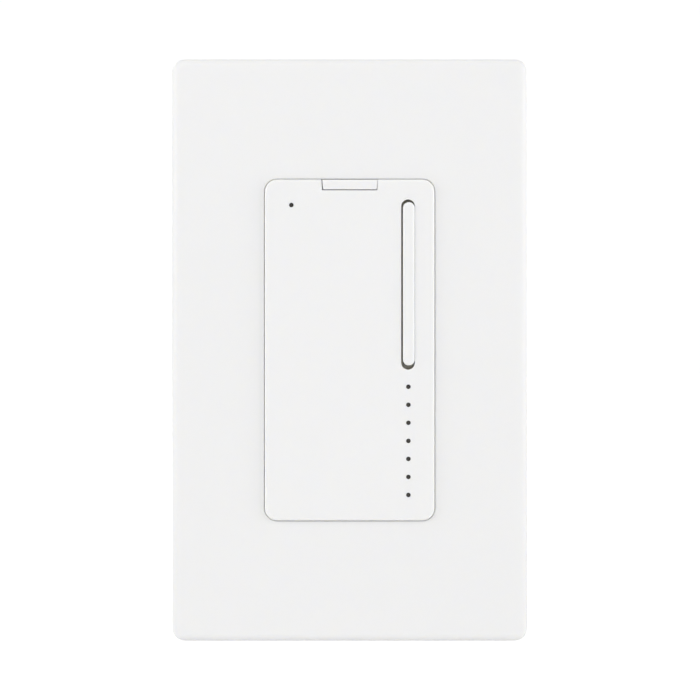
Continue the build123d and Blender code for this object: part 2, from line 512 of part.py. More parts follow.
# seating flange behind the yoke, and cooling ribs down the sides
flange = rr(2 * (hx + 0.4), 2 * (hz + 0.4), 2.9, 0, 2.2)
house += fillet(back_edges(flange), 0.25)
for s in (-1, 1):
    for z in (-4.0, -2.0, 0.0, 2.0, 4.0):
        x0, x1 = sorted((s * (hx - 0.5), s * (hx + 0.4)))
        rib = bx(x0, x1, 1.0, 29.0, z - 0.45, z + 0.45)
        tip = [e for e in rib.edges() if abs(abs(e.bounding_box().min.X) - (hx + 0.4)) < 0.01 and abs(abs(e.bounding_box().max.X) - (hx + 0.4)) < 0.01]
        house += fillet(tip, 0.18)
house -= rr(2 * (hx - HOUSING_WALL), 2 * (hz - HOUSING_WALL), 1.2, -1, hd - HOUSING_REAR)
for sx in (-1, 1):
    for sz in (-1, 1):
        house += cy(sx * HS_X, sz * HS_Z, 2.6, 0, hd - HOUSING_REAR + 0.1)
        # terminal pocket walls
        x0, x1 = sorted((sx * 14.9, sx * (hx - 0.5)))
        house += bx(x0, x1, 17.9, hd - HOUSING_REAR + 0.1, sz * TERM_Z - 6.7, sz * TERM_Z + 6.7)
for x in (-11, 11):
    for z in (-26.5, 27):
        house += cy(x, z, 2.2, PB_FRONT + 1.65, hd - 1) + cy(x, z, 1.1, PB_FRONT + 0.1, hd - 1)
for sx in (-1, 1):
    for sz in (-1, 1):
        house -= cy(sx * HS_X, sz * HS_Z, 1.35, -1, hd + 1)
        house -= cy(sx * HS_X, sz * HS_Z, 2.5, hd - 2.0, hd + 1) + cone_y(sx * HS_X, sz * HS_Z, 2.5, 2.75, hd - 0.25, hd)
        x0, x1 = sorted((sx * 15.9, sx * (hx + 2)))
        house -= bx(x0, x1, 19.0, 30.6, sz * TERM_Z - 5.6, sz * TERM_Z + 5.6)
        rim = [e for e in house.edges() if abs(abs(e.bounding_box().min.X) - hx) < 0.01 and abs(abs(e.bounding_box().max.X) - hx) < 0.01
               and e.center().X * sx > 0 and 18.9 < e.center().Y < 30.7 and abs(e.center().Z - sz * TERM_Z) < 5.7]
        house = chamfer(rim, 0.25)
        x0, x1 = sorted((sx * 14.0, sx * 16.0))
        house -= cx(TERM_Y, sz * TERM_Z, 2.1, x0, x1)
        house -= bx(x0, x1, 28.1, 28.95, sz * TERM_Z - 1.8, sz * TERM_Z + 1.8)
        for dz in (-3.2, 3.2):
            house -= cy(sx * 18.0, sz * TERM_Z + dz, 1.2, 30, hd + 1)
# cooling slots in the top and bottom walls
for x in (-12, -6, 0, 6, 12):
    house -= bx(x - 0.7, x + 0.7, 15.5, 27.0, 32.0, 36)
    house -= bx(x - 0.7, x + 0.7, 21.5, 28.0, -36, -32.0)
# strip-gauge groove moulded in the back, and the shallow field for a rating label
house -= slot_x(0, -12.0, 1.4, 13.0, hd - 0.5, hd + 1)
house -= rr(23.0, 27.0, 1.0, hd - 0.25, hd + 1, 0, 9.0)
save("back_housing", house)

h_screws = []
for sx in (-1, 1):
    for sz in (-1, 1):
        x, z = sx * HS_X, sz * HS_Z
        head = fillet(back_edges(cy(x, z, 2.3, hd - 2.0, hd - 0.4)), 0.5)
        head -= bx(x - 1.3, x + 1.3, hd - 1.2, hd + 1, z - 0.3, z + 0.3) + bx(x - 0.3, x + 0.3, hd - 1.2, hd + 1, z - 1.3, z + 1.3)
        h_screws.append(head + cy(x, z, 1.25, -1.4, hd - 1.95))
save("housing_screws", *h_screws)

contacts, clamps, t_scr = [], [], []
for sx in (-1, 1):
    for sz in (-1, 1):
        zc = sz * TERM_Z
        x0, x1 = sorted((sx * 15.95, sx * 16.95))
        c = bx(x0, x1, 19.6, 28.85, zc - 4.5, zc + 4.5)
        c -= bx(x0 - 1, x1 + 1, 28.2, 29, zc - 6, zc - 1.6) + bx(x0 - 1, x1 + 1, 28.2, 29, zc + 1.6, zc + 6)
        x2, x3 = sorted((sx * 13.5, sx * 16.0))
        c += bx(x2, x3, 28.2, 28.85, zc - 1.6, zc + 1.6)
        c -= cx(TERM_Y, zc, 1.77, x0 - 1, x1 + 1)
        contacts.append(c)
        x0, x1 = sorted((sx * 19.05, sx * 20.05))
        k = bx(x0, x1, 20.3, 28.7, zc - 4.6, zc + 4.6)
        k = fillet(k.edges().filter_by(Axis.X), 0.8)
        k -= cx(TERM_Y, zc, 1.85, x0 - 1, x1 + 1)
        clamps.append(k)
        x0, x1 = sorted((sx * 20.05, sx * 21.75))
        s = cx(TERM_Y, zc, 3.4, x0, x1)
        outer = [e for e in s.edges().filter_by(GeomType.CIRCLE) if abs(abs(e.center().X) - 21.75) < 0.05]
        s = fillet(outer, 0.5)
        x4, x5 = sorted((sx * 20.9, sx * 23))
        s -= bx(x4, x5, TERM_Y - 5, TERM_Y + 5, zc - 0.45, zc + 0.45)
        x6, x7 = sorted((sx * 13.8, sx * 20.1))
        s += cx(TERM_Y, zc, 1.74, x6, x7)
        t_scr.append(s)
save("terminal_contacts", *contacts)
save("terminal_clamps", *clamps)
save("terminal_screws", *t_scr)
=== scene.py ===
import math

import bmesh
import bpy
import numpy as np
from mathutils import Matrix, Vector


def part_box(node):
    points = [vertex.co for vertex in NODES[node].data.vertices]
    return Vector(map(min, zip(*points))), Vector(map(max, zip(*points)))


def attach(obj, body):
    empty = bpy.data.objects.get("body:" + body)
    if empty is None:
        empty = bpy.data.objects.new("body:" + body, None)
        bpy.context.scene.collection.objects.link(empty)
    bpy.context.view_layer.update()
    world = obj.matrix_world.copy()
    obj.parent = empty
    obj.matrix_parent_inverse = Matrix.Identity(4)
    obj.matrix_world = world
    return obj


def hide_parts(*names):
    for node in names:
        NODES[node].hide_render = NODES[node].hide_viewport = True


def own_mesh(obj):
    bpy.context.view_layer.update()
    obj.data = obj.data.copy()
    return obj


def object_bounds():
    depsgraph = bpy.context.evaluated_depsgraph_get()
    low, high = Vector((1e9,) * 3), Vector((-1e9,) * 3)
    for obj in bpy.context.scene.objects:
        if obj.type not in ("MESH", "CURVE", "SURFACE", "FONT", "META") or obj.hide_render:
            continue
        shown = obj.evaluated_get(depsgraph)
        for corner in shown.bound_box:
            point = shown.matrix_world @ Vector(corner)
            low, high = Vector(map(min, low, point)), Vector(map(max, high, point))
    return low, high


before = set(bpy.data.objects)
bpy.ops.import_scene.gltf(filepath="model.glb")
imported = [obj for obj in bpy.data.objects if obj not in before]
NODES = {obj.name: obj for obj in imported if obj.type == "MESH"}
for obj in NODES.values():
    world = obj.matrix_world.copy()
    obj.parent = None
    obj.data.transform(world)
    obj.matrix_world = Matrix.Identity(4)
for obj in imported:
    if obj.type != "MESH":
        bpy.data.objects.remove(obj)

MM = 0.001
CAD_LO, CAD_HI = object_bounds()
scene = bpy.context.scene
scene.view_settings.view_transform = "Standard"
scene.view_settings.look = "None"
scene.view_settings.exposure = 0.0
scene.view_settings.gamma = 1.0


# ================================================================= stage: camera, floor, light
PLATE_LO, PLATE_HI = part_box("wall_plate")
PLATE_FRONT = PLATE_LO.y
PLATE_W = PLATE_HI.x - PLATE_LO.x

cam_data = bpy.data.cameras.new("studio_camera")
cam_data.type = "PERSP"
cam_data.sensor_width = 36.0
cam_data.lens = 150.0
cam_data.dof.use_dof = False
FRAME_WIDTH = PLATE_W * 700.0 / 356.0            # what the picture is wide at the plate's front
CAM_DISTANCE = FRAME_WIDTH * cam_data.lens / cam_data.sensor_width
camera = bpy.data.objects.new("studio_camera", cam_data)
scene.collection.objects.link(camera)
PLATE_MID = (PLATE_LO + PLATE_HI) / 2
camera.location = (PLATE_MID.x + 0.00006, PLATE_FRONT - CAM_DISTANCE, PLATE_MID.z)
camera.rotation_euler = (math.radians(90), 0, 0)
cam_data.clip_start, cam_data.clip_end = 0.01, 30.0
scene.camera = camera


def aim(obj, target):
    obj.rotation_mode = "QUATERNION"
    obj.rotation_quaternion = (Vector(target) - obj.location).to_track_quat("-Z", "Y")


LIGHT = 0.396


def softbox(name, where, target, size_x, size_y, power, colour=(1, 1, 1)):
    data = bpy.data.lights.new(name, "AREA")
    data.shape = "RECTANGLE"
    data.size, data.size_y = size_x, size_y
    data.energy = power * LIGHT
    data.color = colour
    obj = bpy.data.objects.new(name, data)
    scene.collection.objects.link(obj)
    obj.location = where
    aim(obj, target)
    return obj


softbox("key_front", (-0.55, -1.15, 0.75), (0, 0, 0), 0.9, 0.9, 9.5, (1.0, 0.999, 0.998))
softbox("fill_right", (1.05, -0.45, 0.1), (0, 0, 0), 0.8, 1.0, 17.2, (0.999, 0.9995, 1.0))
softbox("fill_left", (-1.1, -0.45, 0.15), (0, 0, 0), 0.7, 1.0, 11.6, (1.0, 1.0, 1.0))
softbox("top", (0.0, 0.05, 1.25), (0, 0, 0), 1.2, 1.0, 4.7, (1.0, 1.0, 1.0))
softbox("rear_left", (-0.9, 0.95, 0.65), (0, 0.015, 0), 0.7, 0.7, 7.0)
softbox("rear_right", (0.8, 1.1, 0.35), (0, 0.015, 0), 0.35, 0.9, 5.5)

world = bpy.data.worlds.new("studio_world")
scene.world = world
world.use_nodes = True
wt = world.node_tree
wt.nodes.clear()
w_out = wt.nodes.new("ShaderNodeOutputWorld")
w_mix = wt.nodes.new("ShaderNodeMixShader")
w_dim = wt.nodes.new("ShaderNodeBackground")
w_dim.inputs["Color"].default_value = (1.0, 1.0, 1.0, 1)
w_dim.inputs["Strength"].default_value = 0.49
w_bright = wt.nodes.new("ShaderNodeBackground")
w_bright.inputs["Color"].default_value = (1, 1, 1, 1)
w_bright.inputs["Strength"].default_value = 1.02
w_path = wt.nodes.new("ShaderNodeLightPath")
w_sheen = wt.nodes.new("ShaderNodeMath")          # reflections see whiter studio walls than the ones that light the object
w_sheen.operation = "MULTIPLY_ADD"
w_sheen.inputs[1].default_value = 0.22
w_sheen.inputs[2].default_value = 0.49
wt.links.new(w_path.outputs["Is Glossy Ray"], w_sheen.inputs[0])
wt.links.new(w_sheen.outputs[0], w_dim.inputs["Strength"])
wt.links.new(w_path.outputs["Is Camera Ray"], w_mix.inputs["Fac"])
wt.links.new(w_dim.outputs[0], w_mix.inputs[1])
wt.links.new(w_bright.outputs[0], w_mix.inputs[2])
wt.links.new(w_mix.outputs[0], w_out.inputs["Surface"])


# ================================================================= material building blocks
class Mat:
    """A node material whose textures are in object space, where one unit is a metre."""

    def __init__(self, name):
        self.m = bpy.data.materials.new(name)
        self.m.use_nodes = True
        self.t = self.m.node_tree
        self.t.nodes.clear()
        self.out = self.t.nodes.new("ShaderNodeOutputMaterial")
        self.b = self.t.nodes.new("ShaderNodeBsdfPrincipled")
        self.t.links.new(self.b.outputs["BSDF"], self.out.inputs["Surface"])
        self.tc = self.t.nodes.new("ShaderNodeTexCoord")
        self.normal = None

    def put(self, socket, value):
        if isinstance(value, bpy.types.NodeSocket):
            self.t.links.new(value, socket)
        elif isinstance(value, (tuple, list)) and len(value) == 3 and socket.type == "RGBA":
            socket.default_value = (*value, 1)
        else:
            socket.default_value = value

    def set(self, **values):
        for key, value in values.items():
            self.put(self.b.inputs[key.replace("_", " ")], value)
        return self

    def at(self, scale=(1, 1, 1), rot=(0, 0, 0), loc=(0, 0, 0)):
        n = self.t.nodes.new("ShaderNodeMapping")
        self.t.links.new(self.tc.outputs["Object"], n.inputs["Vector"])
        n.inputs["Scale"].default_value = scale
        n.inputs["Rotation"].default_value = rot
        n.inputs["Location"].default_value = loc
        return n.outputs[0]

    def noise(self, per_mm, detail=4.0, rough=0.55, warp=0.0, vec=None):
        n = self.t.nodes.new("ShaderNodeTexNoise")
        n.inputs["Scale"].default_value = per_mm * 1000
        n.inputs["Detail"].default_value = detail
        n.inputs["Roughness"].default_value = rough
        n.inputs["Distortion"].default_value = warp
        self.t.links.new(vec or self.tc.outputs["Object"], n.inputs["Vector"])
        return n.outputs["Fac"]

    def cells(self, per_mm, feature="F1", random=1.0, vec=None, out="Distance"):
        n = self.t.nodes.new("ShaderNodeTexVoronoi")
        n.feature = feature
        n.inputs["Scale"].default_value = per_mm * 1000
        n.inputs["Randomness"].default_value = random
        self.t.links.new(vec or self.tc.outputs["Object"], n.inputs["Vector"])
        return n.outputs[out]

    def wave(self, per_mm, warp=0.0, detail=2.0, direction="X", vec=None, profile="SIN", detail_scale=1.0):
        n = self.t.nodes.new("ShaderNodeTexWave")
        n.wave_type = "BANDS"
        n.bands_direction = direction
        n.wave_profile = profile
        n.inputs["Scale"].default_value = per_mm * 1000 / 20 * math.pi * 2 / 2
        n.inputs["Distortion"].default_value = warp
        n.inputs["Detail"].default_value = detail
        n.inputs["Detail Scale"].default_value = detail_scale
        self.t.links.new(vec or self.tc.outputs["Object"], n.inputs["Vector"])
        return n.outputs["Fac"]

    def ramp(self, fac, stops, mode="LINEAR"):
        n = self.t.nodes.new("ShaderNodeValToRGB")
        n.color_ramp.interpolation = mode
        els = n.color_ramp.elements
        while len(els) < len(stops):
            els.new(0.5)
        for el, (pos, col) in zip(els, stops):
            el.position = pos
            el.color = (*col, 1) if len(col) == 3 else col
        self.t.links.new(fac, n.inputs["Fac"])
        return n.outputs["Color"]

    def math(self, op, a, b=0.0, clamp=False):
        n = self.t.nodes.new("ShaderNodeMath")
        n.operation = op
        n.use_clamp = clamp
        self.put(n.inputs[0], a)
        self.put(n.inputs[1], b)
        return n.outputs[0]

    def span(self, fac, lo, hi, a=0.0, b=1.0, smooth=False):
        n = self.t.nodes.new("ShaderNodeMapRange")
        if smooth:
            n.interpolation_type = "SMOOTHSTEP"
        n.inputs["From Min"].default_value = a
        n.inputs["From Max"].default_value = b
        n.inputs["To Min"].default_value = lo
        n.inputs["To Max"].default_value = hi
        self.t.links.new(fac, n.inputs["Value"])
        return n.outputs["Result"]

    def mix(self, fac, a, b, mode="MIX"):
        n = self.t.nodes.new("ShaderNodeMix")
        n.data_type = "RGBA"
        n.blend_type = mode
        self.put(n.inputs["Factor"], fac)
        for sock, value in ((n.inputs[6], a), (n.inputs[7], b)):
            self.put(sock, value)
        return n.outputs[2]

    def xyz(self, vec=None):
        n = self.t.nodes.new("ShaderNodeSeparateXYZ")
        self.t.links.new(vec or self.tc.outputs["Object"], n.inputs[0])
        return n.outputs

    def bump(self, height, strength, depth_mm):
        n = self.t.nodes.new("ShaderNodeBump")
        n.inputs["Strength"].default_value = strength
        n.inputs["Distance"].default_value = depth_mm * MM
        self.t.links.new(height, n.inputs["Height"])
        if self.normal is not None:
            self.t.links.new(self.normal, n.inputs["Normal"])
        self.normal = n.outputs["Normal"]
        self.t.links.new(self.normal, self.b.inputs["Normal"])
        return self


def moulded_white(name, warm=0.0, level=0.84, shift=0.0, rough=(0.2, 0.3), peel=0.2, inner=None):
    """Gloss moulded plastic: faint flow clouds and fine orange peel. inner is (y0, y1, half x, half z) in millimetres:
    behind that depth the walls inside that zone are painted darker and warmer, painted shade in the gaps, slot and
    holes."""
    k = Mat(name)
    v = k.at(loc=(shift, shift * 0.7, -shift))
    clouds = k.noise(0.03, 1, 0.5, 0.0, v)
    speck = k.noise(1.6, 2, 0.6, 0.0, v)
    lo = (level * 0.998, level * (0.998 - 0.001 * warm), level * (0.998 - 0.003 * warm))
    hi = (level * 1.002, level * (1.002 - 0.001 * warm), level * (1.002 - 0.003 * warm))
    col = k.ramp(clouds, [(0.1, lo), (0.9, hi)], "EASE")
    fine = k.ramp(speck, [(0.2, (0.9955, 0.9955, 0.9955)), (0.8, (1, 1, 1))], "EASE")
    col = k.mix(1.0, col, fine, "MULTIPLY")
    # painted shade: inside the zone and behind the given depth the colour goes darker and warmer
    if inner:
        y0, y1, half_x, half_z = inner
        x, y, z = k.xyz()
        near = k.math("MULTIPLY", k.math("LESS_THAN", k.math("ABSOLUTE", x), half_x * MM), k.math("LESS_THAN", k.math("ABSOLUTE", z), half_z * MM))
        painted_gap_shade = k.math("MULTIPLY", k.span(y, 0.0, 1.0, y0 * MM, y1 * MM, True), near)
        col = k.mix(painted_gap_shade, col, (0.85, 0.82, 0.715))
    k.set(Base_Color=col)
    k.set(Roughness=k.span(k.noise(0.5, 1, 0.5, 0.0, v), rough[0], rough[1], 0.1, 0.9, True))
    k.b.inputs["IOR"].default_value = 1.49
    k.b.inputs["Specular IOR Level"].default_value = 0.5
    k.b.inputs["Subsurface Weight"].default_value = 0.5
    k.b.inputs["Subsurface Radius"].default_value = (1.0, 0.95, 0.8)
    k.b.inputs["Subsurface Scale"].default_value = 0.4 * MM
    k.bump(k.noise(0.9, 2, 0.5, 0.0, v), peel, 0.0016)
    k.bump(k.noise(4.5, 2, 0.5, 0.0, v), 0.1, 0.0004)
    return k.m


def moulded(name, dark, light, rough=(0.4, 0.55), grain=6.0, depth=0.006, strength=0.5, flow=0.06, ior=1.5, fibre=False):
    """Textured moulded plastic: spark-eroded grain, flow clouds and, in filled nylon, short fibre flecks."""
    k = Mat(name)
    clouds = k.noise(flow, 4, 0.6, 0.8)
    tint = k.ramp(clouds, [(0.3, dark), (0.72, light)])
    speck = k.cells(grain * 0.6)
    tint = k.mix(k.span(speck, 0.0, 0.35, 0.1, 0.75), tint, tuple(min(1, c * 1.25 + 0.004) for c in light))
    if fibre:
        streak = k.noise(1.6, 2, 0.5, 0.0, k.at(scale=(1, 1, 9), rot=(0.4, 0.3, 0.2)))
        tint = k.mix(k.span(streak, 0.0, 0.5, 0.62, 0.72), tint, tuple(min(1, c * 1.8 + 0.01) for c in light))
    k.set(Base_Color=tint)
    k.set(Roughness=k.span(k.noise(grain * 0.35, 3, 0.6), rough[0], rough[1], 0.3, 0.7))
    k.b.inputs["IOR"].default_value = ior
    k.bump(k.noise(grain * 0.5, 3, 0.6), strength, depth)
    k.bump(k.cells(grain * 1.6), strength * 0.5, depth * 0.4)
    return k.m


def metal(name, dark, light, rough=(0.28, 0.42), lines=None, cloud=0.12, scratch=0.5, pit=0.0):
    """Bare or plated metal: rolling or drawing lines along one axis, stains, and fine random scratches."""
    k = Mat(name)
    k.b.inputs["Metallic"].default_value = 1.0
    stain = k.noise(cloud, 5, 0.62, 0.9)
    col = k.ramp(stain, [(0.28, dark), (0.7, light)])
    r = k.span(k.noise(cloud * 2.4, 4, 0.6), rough[0], rough[1], 0.3, 0.7)
    if lines:
        line = k.noise(3.2, 3, 0.65, 0.0, k.at(scale=lines))
        col = k.mix(k.span(line, 0.0, 0.35, 0.42, 0.66), col, tuple(c * 0.82 for c in dark))
        r = k.math("ADD", r, k.span(line, -0.05, 0.08, 0.35, 0.65))
        k.bump(line, 0.35, 0.0035)
    mark = k.cells(0.55, "DISTANCE_TO_EDGE", 1.0, k.at(scale=(1, 1.7, 5.0), rot=(0.3, 0.9, 0.5)))
    thin = k.span(mark, 1.0, 0.0, 0.0, 0.012)
    col = k.mix(k.math("MULTIPLY", thin, scratch * 0.35), col, tuple(min(1, c * 1.12) for c in light))
    k.set(Base_Color=col, Roughness=k.math("ADD", r, k.math("MULTIPLY", thin, 0.1 * scratch)))
    if pit:
        k.bump(k.noise(5.0, 3, 0.6), pit, 0.004)
    k.bump(k.noise(16.0, 2, 0.5), 0.2, 0.0012)
    return k.m


MATS = {}
# the inner zones paint shade on the walls of the plate opening, the paddle's slot and holes, and the bar's sides
MATS["plate_white"] = moulded_white("plate_white", 0.0, 0.894, 0.0, (0.28, 0.325), inner=(-6.4, -5.8, 17.3, 34.1))
MATS["paddle_white"] = moulded_white("paddle_white", 0.0, 0.902, 0.031, (0.21, 0.26), inner=(-7.35, -6.5, 16.4, 33.2))
MATS["bar_white"] = moulded_white("bar_white", 0.0, 0.906, 0.057, (0.2, 0.25), inner=(-7.15, -6.5, 30, 60))
MATS["tab_white"] = moulded_white("tab_white", 0.6, 0.898, 0.083, (0.28, 0.32))
MATS["bracket_white"] = moulded("bracket_white", (0.8, 0.798, 0.785), (0.86, 0.857, 0.845), (0.38, 0.5), 5.0, 0.004, 0.4)
MATS["frame_white"] = moulded("frame_white", (0.76, 0.735, 0.65), (0.82, 0.795, 0.71), (0.42, 0.56), 5.0, 0.005, 0.5, fibre=True)
MATS["yoke_metal"] = metal("yoke_metal", (0.62, 0.63, 0.64), (0.78, 0.79, 0.8), (0.3, 0.42), (1, 1, 0.02), 0.1, 0.7)
MATS["screw_steel"] = metal("screw_steel", (0.56, 0.57, 0.58), (0.74, 0.75, 0.75), (0.24, 0.38), None, 0.5, 0.3, 0.3)
MATS["spring_steel"] = metal("spring_steel", (0.34, 0.34, 0.35), (0.52, 0.52, 0.53), (0.25, 0.36), (1, 0.05, 1), 0.5, 0.2)
MATS["brass"] = metal("brass", (0.62, 0.42, 0.16), (0.84, 0.62, 0.27), (0.22, 0.36), (1, 0.04, 1), 0.25, 0.5)
MATS["contact_brass"] = metal("contact_brass", (0.6, 0.41, 0.17), (0.8, 0.58, 0.26), (0.26, 0.4), (1, 1, 0.04), 0.25, 0.5)
MATS["tact_steel"] = metal("tact_steel", (0.5, 0.51, 0.52), (0.66, 0.67, 0.68), (0.3, 0.4), (0.05, 1, 1), 0.3, 0.3)
MATS["shield_metal"] = metal("shield_metal", (0.6, 0.61, 0.61), (0.76, 0.77, 0.77), (0.2, 0.34), (0.03, 1, 1), 0.09, 0.4)
# darker copies of the screw metals for the faces inside drive slots and crosses: painted shade in the recesses
MATS["screw_steel_painted_shade"] = metal("screw_steel_painted_shade", (0.15, 0.15, 0.155), (0.26, 0.26, 0.27), (0.5, 0.68), None, 0.8, 0.2, 0.5)
MATS["brass_painted_shade"] = metal("brass_painted_shade", (0.2, 0.12, 0.035), (0.34, 0.21, 0.07), (0.5, 0.68), None, 0.8, 0.2, 0.5)
MATS["housing_black"] = moulded("housing_black", (0.014, 0.0145, 0.015), (0.022, 0.0225, 0.024), (0.44, 0.58), 4.6, 0.012, 0.55, 0.05, 1.52, True)
MATS["chip_black"] = moulded("chip_black", (0.018, 0.018, 0.019), (0.028, 0.028, 0.029), (0.5, 0.65), 9.0, 0.004, 0.5)
MATS["tact_black"] = moulded("tact_black", (0.016, 0.016, 0.017), (0.026, 0.026, 0.027), (0.35, 0.48), 7.0, 0.003, 0.4)
MATS["ferrite"] = moulded("ferrite", (0.045, 0.044, 0.043), (0.075, 0.073, 0.07), (0.42, 0.6), 3.2, 0.008, 0.6)
MATS["coated_core"] = moulded("coated_core", (0.03, 0.17, 0.09), (0.05, 0.26, 0.14), (0.3, 0.42), 3.0, 0.008, 0.5)
MATS["film_yellow"] = moulded("film_yellow", (0.62, 0.4, 0.03), (0.76, 0.5, 0.05), (0.28, 0.38), 3.0, 0.003, 0.35)
MATS["varistor_blue"] = moulded("varistor_blue", (0.02, 0.07, 0.27), (0.035, 0.11, 0.38), (0.25, 0.38), 1.6, 0.02, 0.5)
MATS["gap_pad"] = moulded("gap_pad", (0.36, 0.4, 0.42), (0.46, 0.5, 0.52), (0.6, 0.75), 6.0, 0.006, 0.5)


def ground_green():
    k = Mat("ground_green")
    k.b.inputs["Metallic"].default_value = 0.75
    stain = k.noise(0.7, 4, 0.6, 0.6)
    col = k.ramp(stain, [(0.3, (0.01, 0.17, 0.055)), (0.7, (0.02, 0.29, 0.1))])
    rub = k.span(k.cells(0.8, "DISTANCE_TO_EDGE"), 1.0, 0.0, 0.0, 0.02)
    k.set(Base_Color=k.mix(k.math("MULTIPLY", rub, 0.3), col, (0.4, 0.47, 0.38)))
    k.set(Roughness=k.span(k.noise(1.4, 3), 0.25, 0.4, 0.3, 0.7))
    return k.bump(k.noise(6, 3), 0.3, 0.003).m


def fibre():
    k = Mat("fibre")
    strand = k.noise(1.8, 4, 0.65, 0.6, k.at(scale=(1, 1, 6), rot=(0.2, 0.8, 0)))
    cloud = k.noise(0.5, 3)
    col = k.ramp(strand, [(0.3, (0.2, 0.045, 0.022)), (0.68, (0.34, 0.085, 0.04))])
    col = k.mix(k.span(cloud, 0.0, 0.35, 0.4, 0.7), col, (0.15, 0.03, 0.018))
    k.set(Base_Color=col, Roughness=k.span(strand, 0.6, 0.8, 0.3, 0.7))
    return k.bump(strand, 0.5, 0.02).m


def smoked():
    k = Mat("smoked_lens")
    k.set(Base_Color=k.ramp(k.noise(1.3, 3), [(0.3, (0.028, 0.025, 0.021)), (0.7, (0.044, 0.039, 0.034))]))
    k.set(Roughness=k.span(k.noise(3.0, 2), 0.12, 0.22, 0.3, 0.7))
    k.b.inputs["IOR"].default_value = 1.49
    return k.bump(k.noise(5.0, 2), 0.15, 0.001).m


def clear_pipe():
    k = Mat("clear_pipe")
    k.b.inputs["Transmission Weight"].default_value = 0.75
    k.b.inputs["IOR"].default_value = 1.49
    k.set(Base_Color=k.ramp(k.noise(0.2, 3), [(0.3, (0.86, 0.9, 0.9)), (0.7, (0.95, 0.97, 0.97))]))
    k.set(Roughness=k.span(k.noise(1.2, 3), 0.04, 0.14, 0.3, 0.7))
    return k.bump(k.noise(1.5, 2), 0.15, 0.002).m


def board(name):
    """Solder mask over etched copper: a maze of tracks on a 0.6 mm grid, pads and vias, and glass weave below."""
    k = Mat(name)
    xyz = k.xyz()
    grid = k.t.nodes.new("ShaderNodeCombineXYZ")
    step = 0.0006
    for axis, out in (("X", xyz[0]), ("Y", xyz[2])):
        k.t.links.new(k.math("DIVIDE", k.math("FLOOR", k.math("DIVIDE", out, step)), 7.0), grid.inputs[axis])
    pick = k.t.nodes.new("ShaderNodeTexWhiteNoise")
    pick.noise_dimensions = "2D"
    wide = k.noise(0.11, 2, 0.5, 0.0)
    k.t.links.new(grid.outputs[0], pick.inputs["Vector"])
    fx = k.math("FRACT", k.math("DIVIDE", xyz[0], step))
    fz = k.math("FRACT", k.math("DIVIDE", xyz[2], step))
    line_x = k.math("LESS_THAN", k.math("ABSOLUTE", k.math("SUBTRACT", fx, 0.5)), 0.2)
    line_z = k.math("LESS_THAN", k.math("ABSOLUTE", k.math("SUBTRACT", fz, 0.5)), 0.2)
    upright = k.math("GREATER_THAN", wide, 0.5)
    track = k.math("ADD", k.math("MULTIPLY", line_x, upright), k.math("MULTIPLY", line_z, k.math("SUBTRACT", 1.0, upright)), True)
    zone = k.math("GREATER_THAN", k.noise(0.16, 2, 0.5, 0.5), 0.47)
    track = k.math("MULTIPLY", track, zone)
    dots = k.cells(0.28, "F1", 0.85, k.at(scale=(1, 0.001, 1)))
    via = k.math("LESS_THAN", dots, 0.075)
    hole = k.math("LESS_THAN", dots, 0.035)
    weave = k.math("MULTIPLY", k.wave(1.4, 0.6, 2, "X"), k.wave(1.4, 0.6, 2, "Z"))
    mask = k.ramp(weave, [(0.0, (0.012, 0.13, 0.045)), (1.0, (0.018, 0.17, 0.06))])
    col = k.mix(track, mask, (0.035, 0.27, 0.1))
    col = k.mix(via, col, (0.62, 0.6, 0.52))
    col = k.mix(hole, col, (0.02, 0.02, 0.018))
    k.set(Base_Color=col, Metallic=k.math("MULTIPLY", k.math("SUBTRACT", via, hole), 0.9))
    k.set(Roughness=k.span(k.noise(1.0, 3), 0.24, 0.38, 0.3, 0.7))
    k.bump(track, 0.5, 0.02)
    return k.bump(weave, 0.2, 0.004).m


def enamel_copper():
    k = Mat("copper")
    k.b.inputs["Metallic"].default_value = 0.85
    k.b.inputs["Coat Weight"].default_value = 0.6
    k.b.inputs["Coat Roughness"].default_value = 0.12
    k.set(Base_Color=k.ramp(k.noise(0.6, 4, 0.6, 0.5), [(0.3, (0.36, 0.11, 0.035)), (0.7, (0.58, 0.21, 0.075))]))
    k.set(Roughness=k.span(k.noise(2.5, 3), 0.24, 0.4, 0.3, 0.7))
    return k.bump(k.noise(4, 2), 0.2, 0.003).m


def tape():
    """Polyester tape wound in layers: overlap steps every couple of millimetres, each edged with a darker line."""
    k = Mat("coil_tape")
    edge = k.wave(0.42, 0.25, 2, "Y", profile="SAW")
    cloud = k.noise(0.3, 4, 0.6, 0.7)
    col = k.ramp(cloud, [(0.3, (0.55, 0.36, 0.03)), (0.7, (0.7, 0.49, 0.06))])
    col = k.mix(k.span(edge, 0.0, 0.55, 0.9, 1.0), col, (0.33, 0.2, 0.02))
    k.set(Base_Color=col, Roughness=k.span(cloud, 0.18, 0.32, 0.3, 0.7))
    k.bump(edge, 0.6, 0.04)
    return k.bump(k.noise(1.0, 3, 0.6, 0.4), 0.4, 0.03).m


def fish_paper():
    k = Mat("fish_paper")
    strand = k.noise(1.1, 5, 0.7, 0.5, k.at(scale=(1, 1, 4)))
    k.set(Base_Color=k.ramp(strand, [(0.3, (0.3, 0.34, 0.36)), (0.7, (0.42, 0.46, 0.48))]))
    k.set(Roughness=k.span(strand, 0.62, 0.82, 0.3, 0.7))
    return k.bump(strand, 0.45, 0.012).m


def led():
    k = Mat("led_white")
    xyz = k.xyz()
    fz = k.math("ABSOLUTE", k.math("SINE", k.math("MULTIPLY", xyz[2], 900.0)))
    col = k.ramp(k.noise(2.0, 3), [(0.3, (0.74, 0.73, 0.68)), (0.7, (0.84, 0.83, 0.78))])
    col = k.mix(k.span(fz, 0.0, 0.6, 0.9, 1.0), col, (0.78, 0.62, 0.2))
    k.set(Base_Color=col, Roughness=k.span(k.noise(3.0, 2), 0.3, 0.45, 0.3, 0.7))
    return k.bump(k.noise(6, 2), 0.3, 0.004).m


